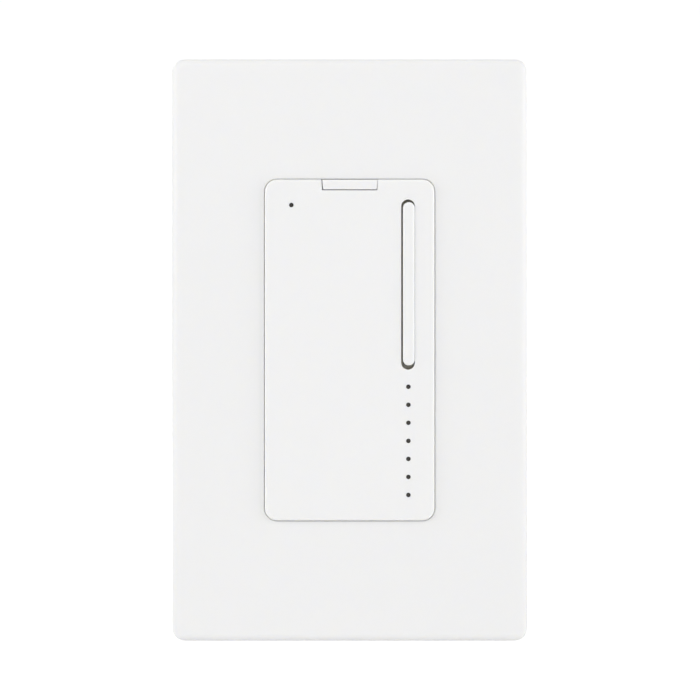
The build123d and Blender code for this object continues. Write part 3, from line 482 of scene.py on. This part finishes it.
def can_sleeve():
    """Shrink sleeve round an aluminium can: bare crowned end in front, a pale stripe down one side."""
    k = Mat("can_sleeve")
    xyz = k.xyz()
    front = min(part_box("electrolytic_capacitors")[0].y, 1.0)
    stripe = k.math("LESS_THAN", k.math("FRACT", k.math("MULTIPLY", k.math("ADD", xyz[0], 0.2), 120.0)), 0.16)
    dash = k.math("GREATER_THAN", k.math("FRACT", k.math("MULTIPLY", xyz[1], 300.0)), 0.35)
    sleeve = k.ramp(k.noise(0.4, 4, 0.6, 0.4), [(0.3, (0.012, 0.016, 0.035)), (0.7, (0.022, 0.028, 0.06))])
    sleeve = k.mix(k.math("MULTIPLY", stripe, dash), sleeve, (0.5, 0.5, 0.47))
    bare = k.math("LESS_THAN", xyz[1], front + 0.0003)
    k.set(Base_Color=k.mix(bare, sleeve, (0.68, 0.69, 0.7)), Metallic=bare)
    k.set(Roughness=k.span(k.noise(1.4, 3), 0.24, 0.38, 0.3, 0.7))
    return k.bump(k.noise(0.8, 3, 0.6, 0.3), 0.35, 0.012).m


def passives():
    """Chip parts: tinned ends, with a tan ceramic or black resistor body between them."""
    k = Mat("passive_mix")
    k.b.inputs["IOR"].default_value = 1.5
    kind = k.math("GREATER_THAN", k.noise(0.12, 1, 0.5), 0.5)
    body = k.mix(kind, (0.36, 0.24, 0.13), (0.02, 0.02, 0.022))
    grain = k.noise(5.0, 4, 0.6)
    col = k.mix(k.span(grain, 0.0, 0.3, 0.4, 0.7), body, (0.5, 0.42, 0.32))
    tin = k.math("GREATER_THAN", k.noise(0.9, 1, 0.5), 0.58)
    k.set(Base_Color=k.mix(tin, col, (0.68, 0.69, 0.68)), Metallic=tin)
    k.set(Roughness=k.span(grain, 0.35, 0.55, 0.3, 0.7))
    return k.bump(grain, 0.4, 0.006).m


def glass_fuse():
    """Ceramic fuse tube between nickel caps: the caps are where the tube ends."""
    k = Mat("fuse_body")
    lo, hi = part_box("fuse")
    xyz = k.xyz()
    mid, reach = (lo.x + hi.x) / 2, (hi.x - lo.x) / 2
    far = k.math("GREATER_THAN", k.math("ABSOLUTE", k.math("SUBTRACT", xyz[0], mid)), reach - 0.0033)
    tube = k.ramp(k.noise(0.8, 4), [(0.3, (0.62, 0.6, 0.54)), (0.7, (0.74, 0.72, 0.66))])
    cap = k.ramp(k.noise(1.2, 4, 0.6, 0.5), [(0.3, (0.55, 0.55, 0.53)), (0.7, (0.72, 0.72, 0.7))])
    k.set(Base_Color=k.mix(far, tube, cap), Metallic=far)
    k.set(Roughness=k.span(k.noise(2.0, 3), 0.22, 0.36, 0.3, 0.7))
    return k.bump(k.noise(3, 3), 0.3, 0.006).m


MATS["ground_green"] = ground_green()
# darker green for the faces inside the ground screw's slot: painted shade in the recess
MATS["ground_green_painted_shade"] = moulded("ground_green_painted_shade", (0.004, 0.05, 0.018), (0.008, 0.085, 0.03), (0.5, 0.65), 5.0, 0.004, 0.4)
MATS["fibre"] = fibre()
MATS["smoked_lens"] = smoked()
MATS["clear_pipe"] = clear_pipe()
MATS["board_green"] = board("board_green")
MATS["copper"] = enamel_copper()
MATS["coil_tape"] = tape()
MATS["fish_paper"] = fish_paper()
MATS["led_white"] = led()
MATS["can_sleeve"] = can_sleeve()
MATS["passive_mix"] = passives()
MATS["fuse_body"] = glass_fuse()


# ================================================================= floor
def floor():
    k = Mat("studio_floor")
    k.set(Base_Color=k.ramp(k.noise(0.004, 3), [(0.3, (0.61, 0.61, 0.61)), (0.7, (0.63, 0.63, 0.63))]))
    k.b.inputs["Roughness"].default_value = 0.8
    k.b.inputs["Emission Color"].default_value = (1, 1, 1, 1)
    path = k.t.nodes.new("ShaderNodeLightPath")
    k.t.links.new(k.span(path.outputs["Is Camera Ray"], 0.305, 0.74), k.b.inputs["Emission Strength"])
    bm = bmesh.new()
    bmesh.ops.create_circle(bm, cap_ends=True, segments=96, radius=6.0)
    mesh = bpy.data.meshes.new("studio_floor")
    bm.to_mesh(mesh)
    bm.free()
    obj = bpy.data.objects.new("studio_floor", mesh)
    scene.collection.objects.link(obj)
    obj.location.z = CAD_LO.z - 0.0002
    mesh.materials.append(k.m)


floor()


# ================================================================= CAD nodes: materials and softened edges
def smooth_group(limit_deg=32.0):
    g = bpy.data.node_groups.new("shade_by_angle", "GeometryNodeTree")
    g.interface.new_socket("Geometry", in_out="INPUT", socket_type="NodeSocketGeometry")
    g.interface.new_socket("Geometry", in_out="OUTPUT", socket_type="NodeSocketGeometry")
    gi, go = g.nodes.new("NodeGroupInput"), g.nodes.new("NodeGroupOutput")
    drop = g.nodes.new("GeometryNodeRemoveAttribute")
    drop.inputs["Name"].default_value = "custom_normal"
    all_smooth = g.nodes.new("GeometryNodeSetShadeSmooth")
    all_smooth.domain = "FACE"
    sharp = g.nodes.new("GeometryNodeSetShadeSmooth")
    sharp.domain = "EDGE"
    sharp.inputs["Shade Smooth"].default_value = False
    angle = g.nodes.new("GeometryNodeInputMeshEdgeAngle")
    over = g.nodes.new("FunctionNodeCompare")
    over.data_type = "FLOAT"
    over.operation = "GREATER_THAN"
    over.inputs[1].default_value = math.radians(limit_deg)
    keep = g.nodes.new("GeometryNodeSetShadeSmooth")
    keep.domain = "EDGE"
    keep.inputs["Shade Smooth"].default_value = True
    g.links.new(gi.outputs[0], drop.inputs["Geometry"])
    g.links.new(drop.outputs["Geometry"], all_smooth.inputs["Geometry"])
    g.links.new(all_smooth.outputs["Geometry"], keep.inputs["Geometry"])
    g.links.new(keep.outputs["Geometry"], sharp.inputs["Geometry"])
    g.links.new(angle.outputs["Unsigned Angle"], over.inputs[0])
    g.links.new(over.outputs[0], sharp.inputs["Selection"])
    g.links.new(sharp.outputs["Geometry"], go.inputs[0])
    return g


SMOOTH = smooth_group()


def soften(obj, width_mm, angle=38.0, segments=2):
    """Small radius on every sharp edge, as a mould or a tumbling drum leaves it."""
    weld = obj.modifiers.new("weld", "WELD")
    weld.merge_threshold = 2e-6
    flat = obj.modifiers.new("flat", "DECIMATE")
    flat.decimate_type = "DISSOLVE"
    flat.angle_limit = math.radians(0.6)
    bevel = obj.modifiers.new("edge", "BEVEL")
    bevel.width = width_mm * MM
    bevel.segments = segments
    bevel.limit_method = "ANGLE"
    bevel.angle_limit = math.radians(angle)
    bevel.use_clamp_overlap = True
    bevel.miter_outer = "MITER_ARC"
    bevel.face_strength_mode = "FSTR_ALL"
    shade = obj.modifiers.new("shade", "NODES")
    shade.node_group = SMOOTH
    wn = obj.modifiers.new("normals", "WEIGHTED_NORMAL")
    wn.keep_sharp = True
    wn.use_face_influence = True
    wn.weight = 60


FINISH = {
    "wall_plate": ("plate_white", 0.07),
    "paddle": ("paddle_white", 0.07),
    "dimming_bar": ("bar_white", 0.0),
    "air_gap_tab": ("tab_white", 0.06),
    "plate_bracket": ("bracket_white", 0.14),
    "front_frame": ("frame_white", 0.1),
    "yoke": ("yoke_metal", 0.1),
    "back_housing": ("housing_black", 0.0),
    "screw_retainers": ("fibre", 0.05),
    "level_lens_strip": ("smoked_lens", 0.0),
    "status_lens": ("smoked_lens", 0.0),
    "level_light_pipe": ("clear_pipe", 0.0),
    "status_light_pipe": ("clear_pipe", 0.0),
    "paddle_pivot_pins": ("spring_steel", 0.06),
    "bar_pivot_pin": ("spring_steel", 0.06),
    "control_board": ("board_green", 0.04),
    "power_board": ("board_green", 0.04),
    "level_leds": ("led_white", 0.05),
    "status_led": ("led_white", 0.05),
    "paddle_tact_switch": ("tact_steel", 0.06),
    "brighten_tact_switch": ("tact_steel", 0.06),
    "dim_tact_switch": ("tact_steel", 0.06),
    "paddle_tact_stem": ("tact_black", 0.1),
    "brighten_tact_stem": ("tact_black", 0.1),
    "dim_tact_stem": ("tact_black", 0.1),
    "microcontroller": ("chip_black", 0.04),
    "wifi_module": ("board_green", 0.04),
    "wifi_shield": ("shield_metal", 0.0),
    "crystal": ("shield_metal", 0.0),
    "board_passives": ("passive_mix", 0.05),
    "board_header": ("chip_black", 0.06),
    "header_pins": ("contact_brass", 0.05),
    "insulating_sheet": ("fish_paper", 0.02),
    "choke_core": ("coated_core", 0.4),
    "film_capacitor": ("film_yellow", 0.0),
    "electrolytic_capacitors": ("can_sleeve", 0.0),
    "fuse": ("fuse_body", 0.0),
    "varistor": ("varistor_blue", 0.0),
    "bridge_rectifier": ("chip_black", 0.05),
    "optocoupler": ("chip_black", 0.05),
    "transformer_core": ("ferrite", 0.15),
    "transformer_winding": ("coil_tape", 0.2),
    "transformer_base": ("chip_black", 0.12),
    "power_transistors": ("chip_black", 0.06),
    "thermal_pad": ("gap_pad", 0.03),
    "air_gap_bridge": ("brass", 0.05),
    "air_gap_fixed_contacts": ("contact_brass", 0.05),
    "terminal_contacts": ("contact_brass", 0.07),
    "terminal_clamps": ("brass", 0.12),
}
for node, (finish_name, radius) in FINISH.items():
    obj = NODES[node]
    for s in obj.material_slots:
        s.material = MATS[finish_name]
    if radius:
        soften(obj, radius)


# ================================================================= new pieces: helpers
def mesh_object(name, bm, body, material, replaced=()):
    bmesh.ops.remove_doubles(bm, verts=bm.verts, dist=1e-8)
    bmesh.ops.recalc_face_normals(bm, faces=bm.faces)
    mesh = bpy.data.meshes.new(name)
    bm.to_mesh(mesh)
    bm.free()
    for p in mesh.polygons:
        p.use_smooth = True
    mesh.set_sharp_from_angle(angle=math.radians(34))
    obj = bpy.data.objects.new(name, mesh)
    scene.collection.objects.link(obj)
    mesh.materials.append(MATS[material])
    # faces inside a drive recess take the darker copy of the material: painted shade
    if any(p.material_index for p in mesh.polygons):
        mesh.materials.append(MATS[material + "_painted_shade"])
    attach(obj, body)
    if replaced:
        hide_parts(*replaced)
    return obj


def ring_grid(bm, rows, seg):
    """Rows of rings from (s, r) or (s, [r per segment]) and skins them. Returns the first and last ring."""
    rings = []
    for s, r in rows:
        radii = r if hasattr(r, "__len__") else [r] * seg
        rings.append([bm.verts.new((radii[i] * math.cos(2 * math.pi * i / seg), radii[i] * math.sin(2 * math.pi * i / seg), s)) for i in range(seg)])
    for a, b in zip(rings, rings[1:]):
        for i in range(seg):
            j = (i + 1) % seg
            bm.faces.new((a[i], a[j], b[j], b[i]))
    return rings[0], rings[-1]


def cap(bm, ring, s=None):
    """Closes a ring with a centre point."""
    z = ring[0].co.z if s is None else s
    c = bm.verts.new((0, 0, z))
    for i in range(len(ring)):
        bm.faces.new((ring[i], ring[(i + 1) % len(ring)], c))


def temp_object(bm):
    bmesh.ops.recalc_face_normals(bm, faces=bm.faces)
    mesh = bpy.data.meshes.new("cut")
    bm.to_mesh(mesh)
    bm.free()
    obj = bpy.data.objects.new("cut", mesh)
    scene.collection.objects.link(obj)
    return obj


def cut(base_bm, cutters):
    """Takes closed cutters out of a closed mesh and gives the result as a new bmesh."""
    base = temp_object(base_bm)
    others = [temp_object(c) for c in cutters]
    for o in others:
        m = base.modifiers.new("cut", "BOOLEAN")
        m.operation = "DIFFERENCE"
        m.solver = "EXACT"
        m.object = o
    dg = bpy.context.evaluated_depsgraph_get()
    bpy.context.view_layer.update()
    mesh = bpy.data.meshes.new_from_object(base.evaluated_get(dg), depsgraph=dg)
    out = bmesh.new()
    out.from_mesh(mesh)
    for o in (base, *others):
        data = o.data
        bpy.data.objects.remove(o)
        bpy.data.meshes.remove(data)
    bpy.data.meshes.remove(mesh)
    return out


def box_cutter(hx, hy, z0, z1, taper=1.0):
    """Block from z0 (top, full size) to z1, narrowed to taper of its length there."""
    bm = bmesh.new()
    top = [bm.verts.new((sx * hx, sy * hy, z0)) for sx, sy in ((-1, -1), (1, -1), (1, 1), (-1, 1))]
    low = [bm.verts.new((sx * hx * taper, sy * hy * (0.6 + 0.4 * taper), z1)) for sx, sy in ((-1, -1), (1, -1), (1, 1), (-1, 1))]
    bm.faces.new(top)
    bm.faces.new(low[::-1])
    for i in range(4):
        j = (i + 1) % 4
        bm.faces.new((top[i], low[i], low[j], top[j]))
    return bm


def screw_bm(head_r, head_h, neck_s, major, root, pitch, thread_s, end_s, recess, seg=40, crown=0.12, edge=0.45, hexagon=None, flange=None, self_tap=False, point=0.55):
    """One screw along +Z from the top of its head, in millimetres: crowned head with its drive cut in, and a rolled helical thread.
    neck_s is where the head meets the shank, thread_s where the thread starts and end_s the tip."""
    bm = bmesh.new()
    rows = []
    if hexagon:
        flat = hexagon / 2
        hex_r = [flat / math.cos(((2 * math.pi * i / seg) % (math.pi / 3)) - math.pi / 6) for i in range(seg)]
        rows += [(crown * 0.4, [r * 0.45 for r in hex_r]), (crown * 0.55, [min(r, flat) * 0.93 for r in hex_r]), (crown, [min(r, flat * 1.03) for r in hex_r]),
                 (crown + 0.32, hex_r), (head_h - flange - 0.1, hex_r), (head_h - flange, [r + 0.12 for r in hex_r]),
                 (head_h - flange + 0.03, head_r * 0.94), (head_h - flange + 0.16, head_r * 0.99), (head_h - 0.1, head_r), (head_h, head_r - 0.1)]
        first = 0.0
    else:
        first = 0.0
        flat_r = head_r - edge
        for q in (0.3, 0.6, 0.85, 1.0):
            rows.append((crown * q * q, flat_r * q))
        for i in range(1, 7):
            a = i / 6 * math.pi / 2
            rows.append((crown + edge * (1 - math.cos(a)), flat_r + edge * math.sin(a)))
        rows += [(head_h - 0.12, head_r), (head_h - 0.03, head_r - 0.03), (head_h, head_r - 0.12)]
    rows += [(head_h, (head_r + root) / 2), (head_h, root + 0.12), (head_h + 0.1, root + 0.02), (neck_s, root)]
    top, neck = ring_grid(bm, rows, seg)
    cap(bm, top, first)
    bm.faces.new(neck[::-1])
    cutters = []
    if "slot" in recess:
        w, d = recess["slot"]
        cutters.append(box_cutter(head_r * 1.2, w / 2, -1.0, d))
    if "cross" in recess:
        reach, w, d = recess["cross"]
        for turn in (0, 1):
            c = box_cutter(reach * 1.35, w / 2, -d * 0.35, d, 0.22)
            if turn:
                bmesh.ops.rotate(c, verts=c.verts, matrix=Matrix.Rotation(math.pi / 2, 3, "Z"))
            cutters.append(c)
    head = cut(bm, cutters) if cutters else bm
    for f in head.faces:
        c = f.calc_center_median()
        r, flat_r = math.hypot(c.x, c.y), head_r - edge
        dome = crown * (r / flat_r) ** 2 if r < flat_r else crown + edge * (1 - math.sqrt(max(0.0, 1 - ((r - flat_r) / edge) ** 2)))
        # faces inside the drive cut get material 1, the darker painted-shade copy
        f.material_index = 1 if cutters and r < head_r - 0.03 and c.z < head_h - 0.05 and c.z > dome + 0.05 else 0
    gone = [f for f in head.faces if all(abs(v.co.z - neck_s) < 1e-5 for v in f.verts)]
    bmesh.ops.delete(head, geom=gone, context="FACES_ONLY")
    rows, n = [(neck_s, root)], 9
    if thread_s - neck_s > 0.05:
        rows.append((thread_s - 0.02, root))
    count = int((end_s - thread_s) / pitch * n)
    theta = np.arange(seg) / seg
    for k in range(1, count + 1):
        s = thread_s + (end_s - thread_s) * k / (count + 1)
        x = np.mod(s / pitch + theta, 1.0)
        tooth = np.clip(1.18 * (1 - np.abs(2 * x - 1)) - 0.06, 0, 1) if not self_tap else np.clip(2.1 * (1 - np.abs(2 * x - 1)) - 1.1, 0, 1)
        tooth = tooth * tooth * (3 - 2 * tooth)
        fade = min(1.0, (s - thread_s) / (pitch * 0.9), max(0.0, (end_s - s) / (pitch * 1.3)) + (0.12 if not self_tap else 0.0))
        slim = 1.0 if end_s - s > point else 0.62 + 0.38 * (end_s - s) / point
        rows.append((s, list((root + (major - root) * tooth * fade) * slim)))
    rows.append((end_s, root * 0.55))
    first_ring, last = ring_grid(head, rows, seg)
    cap(head, last)
    bmesh.ops.remove_doubles(head, verts=head.verts, dist=2e-4)
    return head


def place(template, where, direction, turn=0.0):
    """A copy of a millimetre template with its +Z along direction, its head's top centre at where (millimetres), scaled to metres."""
    bm = template.copy()
    z = Vector(direction).normalized()
    helper = Vector((0, 0, 1)) if abs(z.z) < 0.9 else Vector((1, 0, 0))
    x = helper.cross(z).normalized()
    y = z.cross(x)
    m = Matrix((x, y, z)).transposed().to_4x4()
    m = Matrix.Translation(Vector(where)) @ m @ Matrix.Rotation(turn, 4, "Z")
    bmesh.ops.transform(bm, matrix=Matrix.Scale(MM, 4) @ m, verts=bm.verts)
    return bm


def gather(parts):
    out = bmesh.new()
    for p in parts:
        mesh = bpy.data.meshes.new("part")
        p.to_mesh(mesh)
        out.from_mesh(mesh)
        bpy.data.meshes.remove(mesh)
        p.free()
    return out


def mm_box(node):
    lo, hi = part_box(node)
    return lo / MM, hi / MM


# ---- box screws: no. 6-32 x 1 in, slotted and cross recess
lo, hi = mm_box("box_screws")
z_box = hi.z - 3.2
t = screw_bm(3.2, 1.88, 2.0, 1.7, 1.36, 0.794, 2.35, hi.y - lo.y, {"slot": (0.85, 0.75), "cross": (1.3, 0.75, 1.35)}, crown=0.22)
mesh_object("box_screws_threaded", gather([place(t, (0, lo.y, z_box), (0, 1, 0), 0.35), place(t, (0, lo.y, -z_box), (0, 1, 0), 1.1)]), "device", "screw_steel", ["box_screws"])
t.free()

# ---- plate screws: no. 6-32, into the yoke
lo, hi = mm_box("plate_screws")
z_plate = hi.z - 3.1
t = screw_bm(3.1, 1.5, 1.65, 1.74, 1.36, 0.794, 2.0, hi.y - lo.y, {"slot": (0.9, 0.7)}, crown=0.25)
mesh_object("plate_screws_threaded", gather([place(t, (0, lo.y, z_plate), (0, 1, 0), 0.1), place(t, (0, lo.y, -z_plate), (0, 1, 0), 1.45)]), "device", "screw_steel", ["plate_screws"])
t.free()

# ---- housing screws: long self-tapping screws from the back
lo, hi = mm_box("housing_screws")
hx, hz = hi.x - 2.3, hi.z - 2.3
t = screw_bm(2.3, 1.6, 1.75, 1.24, 0.9, 0.95, 2.6, hi.y - lo.y, {"cross": (1.25, 0.62, 1.15)}, seg=32, crown=0.18, self_tap=True, point=1.6)
parts = [place(t, (sx * hx, hi.y, sz * hz), (0, -1, 0), 0.4 + 0.7 * i) for i, (sx, sz) in enumerate(((-1, -1), (1, -1), (-1, 1), (1, 1)))]
mesh_object("housing_screws_threaded", gather(parts), "device", "screw_steel", ["housing_screws"])
t.free()

# ---- front-frame and control-board screws: short self-tappers
for node, where in (("front_frame_screws", None), ("control_board_screws", None)):
    o = NODES[node]
    lo, hi = mm_box(node)
    co = np.array([v.co for v in o.data.vertices]) / MM
    rear = co[co[:, 1] > hi.y - 0.02]
    centres = []
    for p in rear:
        if not any(math.hypot(p[0] - c[0], p[2] - c[1]) < 3.0 for c in centres):
            near = rear[np.hypot(rear[:, 0] - p[0], rear[:, 2] - p[2]) < 3.6]
            centres.append((float((near[:, 0].min() + near[:, 0].max()) / 2), float((near[:, 2].min() + near[:, 2].max()) / 2)))
    r = 1.7 if node == "front_frame_screws" else 1.8
    t = screw_bm(r, 1.3, 1.42, 0.95, 0.7, 0.72, 1.7, hi.y - lo.y, {"cross": (0.95, 0.46, 0.85)}, seg=24, crown=0.12, edge=0.35, self_tap=True, point=1.0)
    parts = [place(t, (x, hi.y, z), (0, -1, 0), 0.2 + 0.9 * i) for i, (x, z) in enumerate(sorted(centres))]
    mesh_object(node + "_threaded", gather(parts), "device", "screw_steel", [node])
    t.free()

# ---- transistor screws: down onto the heat-sink flange
lo, hi = mm_box("transistor_screws")
t = screw_bm(2.7, 1.8, 1.95, 1.48, 1.15, 0.5, 2.2, hi.z - lo.z, {"cross": (1.5, 0.66, 1.1)}, seg=32, crown=0.2, edge=0.5)
yc = (lo.y + hi.y) / 2
parts = [place(t, (s * ((hi.x - lo.x) / 2 - 2.7), yc, hi.z), (0, 0, -1), 0.5 + s) for s in (-1, 1)]
mesh_object("transistor_screws_threaded", gather(parts), "device", "screw_steel", ["transistor_screws"])
t.free()

# ---- ground screw: green washer-head hexagon with a slot
lo, hi = mm_box("ground_screw")
t = screw_bm(3.2, 2.0, 2.15, 1.74, 1.38, 0.794, 2.3, hi.z - lo.z, {"slot": (0.9, 0.95)}, seg=48, crown=0.22, hexagon=5.2, flange=0.55)
mesh_object("ground_screw_threaded", place(t, ((lo.x + hi.x) / 2, (lo.y + hi.y) / 2, lo.z), (0, 0, 1), 0.4), "device", "ground_green", ["ground_screw"])
t.free()

# ---- terminal screws: binding heads on the sides
lo, hi = mm_box("terminal_screws")
ty, tz = (lo.y + hi.y) / 2, hi.z - 3.4
t = screw_bm(3.4, 1.68, 1.8, 1.72, 1.38, 0.794, 1.95, hi.x - 13.8, {"slot": (0.9, 0.85), "cross": (1.55, 0.8, 1.25)}, seg=40, crown=0.2, edge=0.5)
parts = [place(t, (sx * hi.x, ty, sz * tz), (-sx, 0, 0), 0.5 + 0.8 * i) for i, (sx, sz) in enumerate(((-1, -1), (1, -1), (-1, 1), (1, 1)))]
mesh_object("terminal_screws_threaded", gather(parts), "device", "brass", ["terminal_screws"])
t.free()


# ---- wire helpers
def tube(path, radius, sides=10, closed=False):
    """Round wire along a list of points in millimetres, closed at its ends."""
    pts = [Vector(p) for p in path]
    bm = bmesh.new()
    n = len(pts)
    tangent = []
    for i in range(n):
        a = pts[(i - 1) % n] if closed or i else pts[0]
        b = pts[(i + 1) % n] if closed or i < n - 1 else pts[-1]
        tangent.append((b - a).normalized())
    side = tangent[0].orthogonal().normalized()
    rings = []
    for i in range(n):
        side = (side - tangent[i] * side.dot(tangent[i])).normalized()
        up = tangent[i].cross(side)
        rings.append([bm.verts.new((pts[i] + (side * math.cos(a) + up * math.sin(a)) * radius) * MM) for a in (2 * math.pi * k / sides for k in range(sides))])
    pairs = list(zip(rings, rings[1:])) + ([(rings[-1], rings[0])] if closed else [])
    for a, b in pairs:
        for k in range(sides):
            j = (k + 1) % sides
            bm.faces.new((a[k], a[j], b[j], b[k]))
    if not closed:
        bm.faces.new(rings[0][::-1])
        bm.faces.new(rings[-1])
    return bm


# ---- paddle return springs: closed-end compression coils
lo, hi = mm_box("paddle_return_springs")
spring_x = hi.x - 2.1
spring_z = (lo.z + hi.z) / 2
wire = 0.175
PADDLE_LO, PADDLE_HI = mm_box("paddle")
for side_name, sx in (("left", -1), ("right", 1)):
    path, turns, steps = [], 6.5, 30
    y0, y1 = lo.y + wire, hi.y - wire
    total = int(turns * steps)
    for i in range(total + 1):
        u = i / steps
        if u < 1:
            y = y0 + 0.37 * u
        elif u > turns - 1:
            y = y1 - 0.37 * (turns - u)
        else:
            y = y0 + 0.37 + (y1 - y0 - 0.74) * (u - 1) / (turns - 2)
        a = 2 * math.pi * u + (0.6 if sx > 0 else 0.0)
        path.append((sx * spring_x + 1.92 * math.cos(a), y, spring_z + 1.92 * math.sin(a)))
    o = mesh_object("paddle_return_spring_" + side_name, tube(path, wire, 10), "device", "spring_steel", ["paddle_return_springs"])
    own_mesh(o)

# ---- choke windings: two runs of enamelled wire round the ring core
lo, hi = mm_box("choke_core")
cx0, cz0, r_out = (lo.x + hi.x) / 2, (lo.z + hi.z) / 2, (hi.x - lo.x) / 2
r_in, ya, yb, wr = 4.2, lo.y, hi.y, 0.34
coils = []
for half in (0, 1):
    path = []
    turns, per = 13, 28
    for i in range(turns * per + 1):
        u = i / per
        phi = math.radians((112 if half == 0 else -68) + 136 * u / turns)
        q = (u % 1.0) * 4
        rc, yc2 = (r_in + r_out) / 2, (ya + yb) / 2
        a = 2 * math.pi * (u % 1.0)
        # rounded-rectangle section path round the core
        ca, sa = math.cos(a), math.sin(a)
        e = 0.32
        rr_ = rc + ((r_out - r_in) / 2 + wr + 0.05) * math.copysign(abs(ca) ** e, ca)
        yy = yc2 + ((yb - ya) / 2 + wr + 0.05) * math.copysign(abs(sa) ** e, sa)
        path.append((cx0 + rr_ * math.cos(phi), yy, cz0 + rr_ * math.sin(phi)))
    coils.append(tube(path, wr, 8))
mesh_object("choke_winding_wire", gather(coils), "device", "copper", ["choke_winding"])
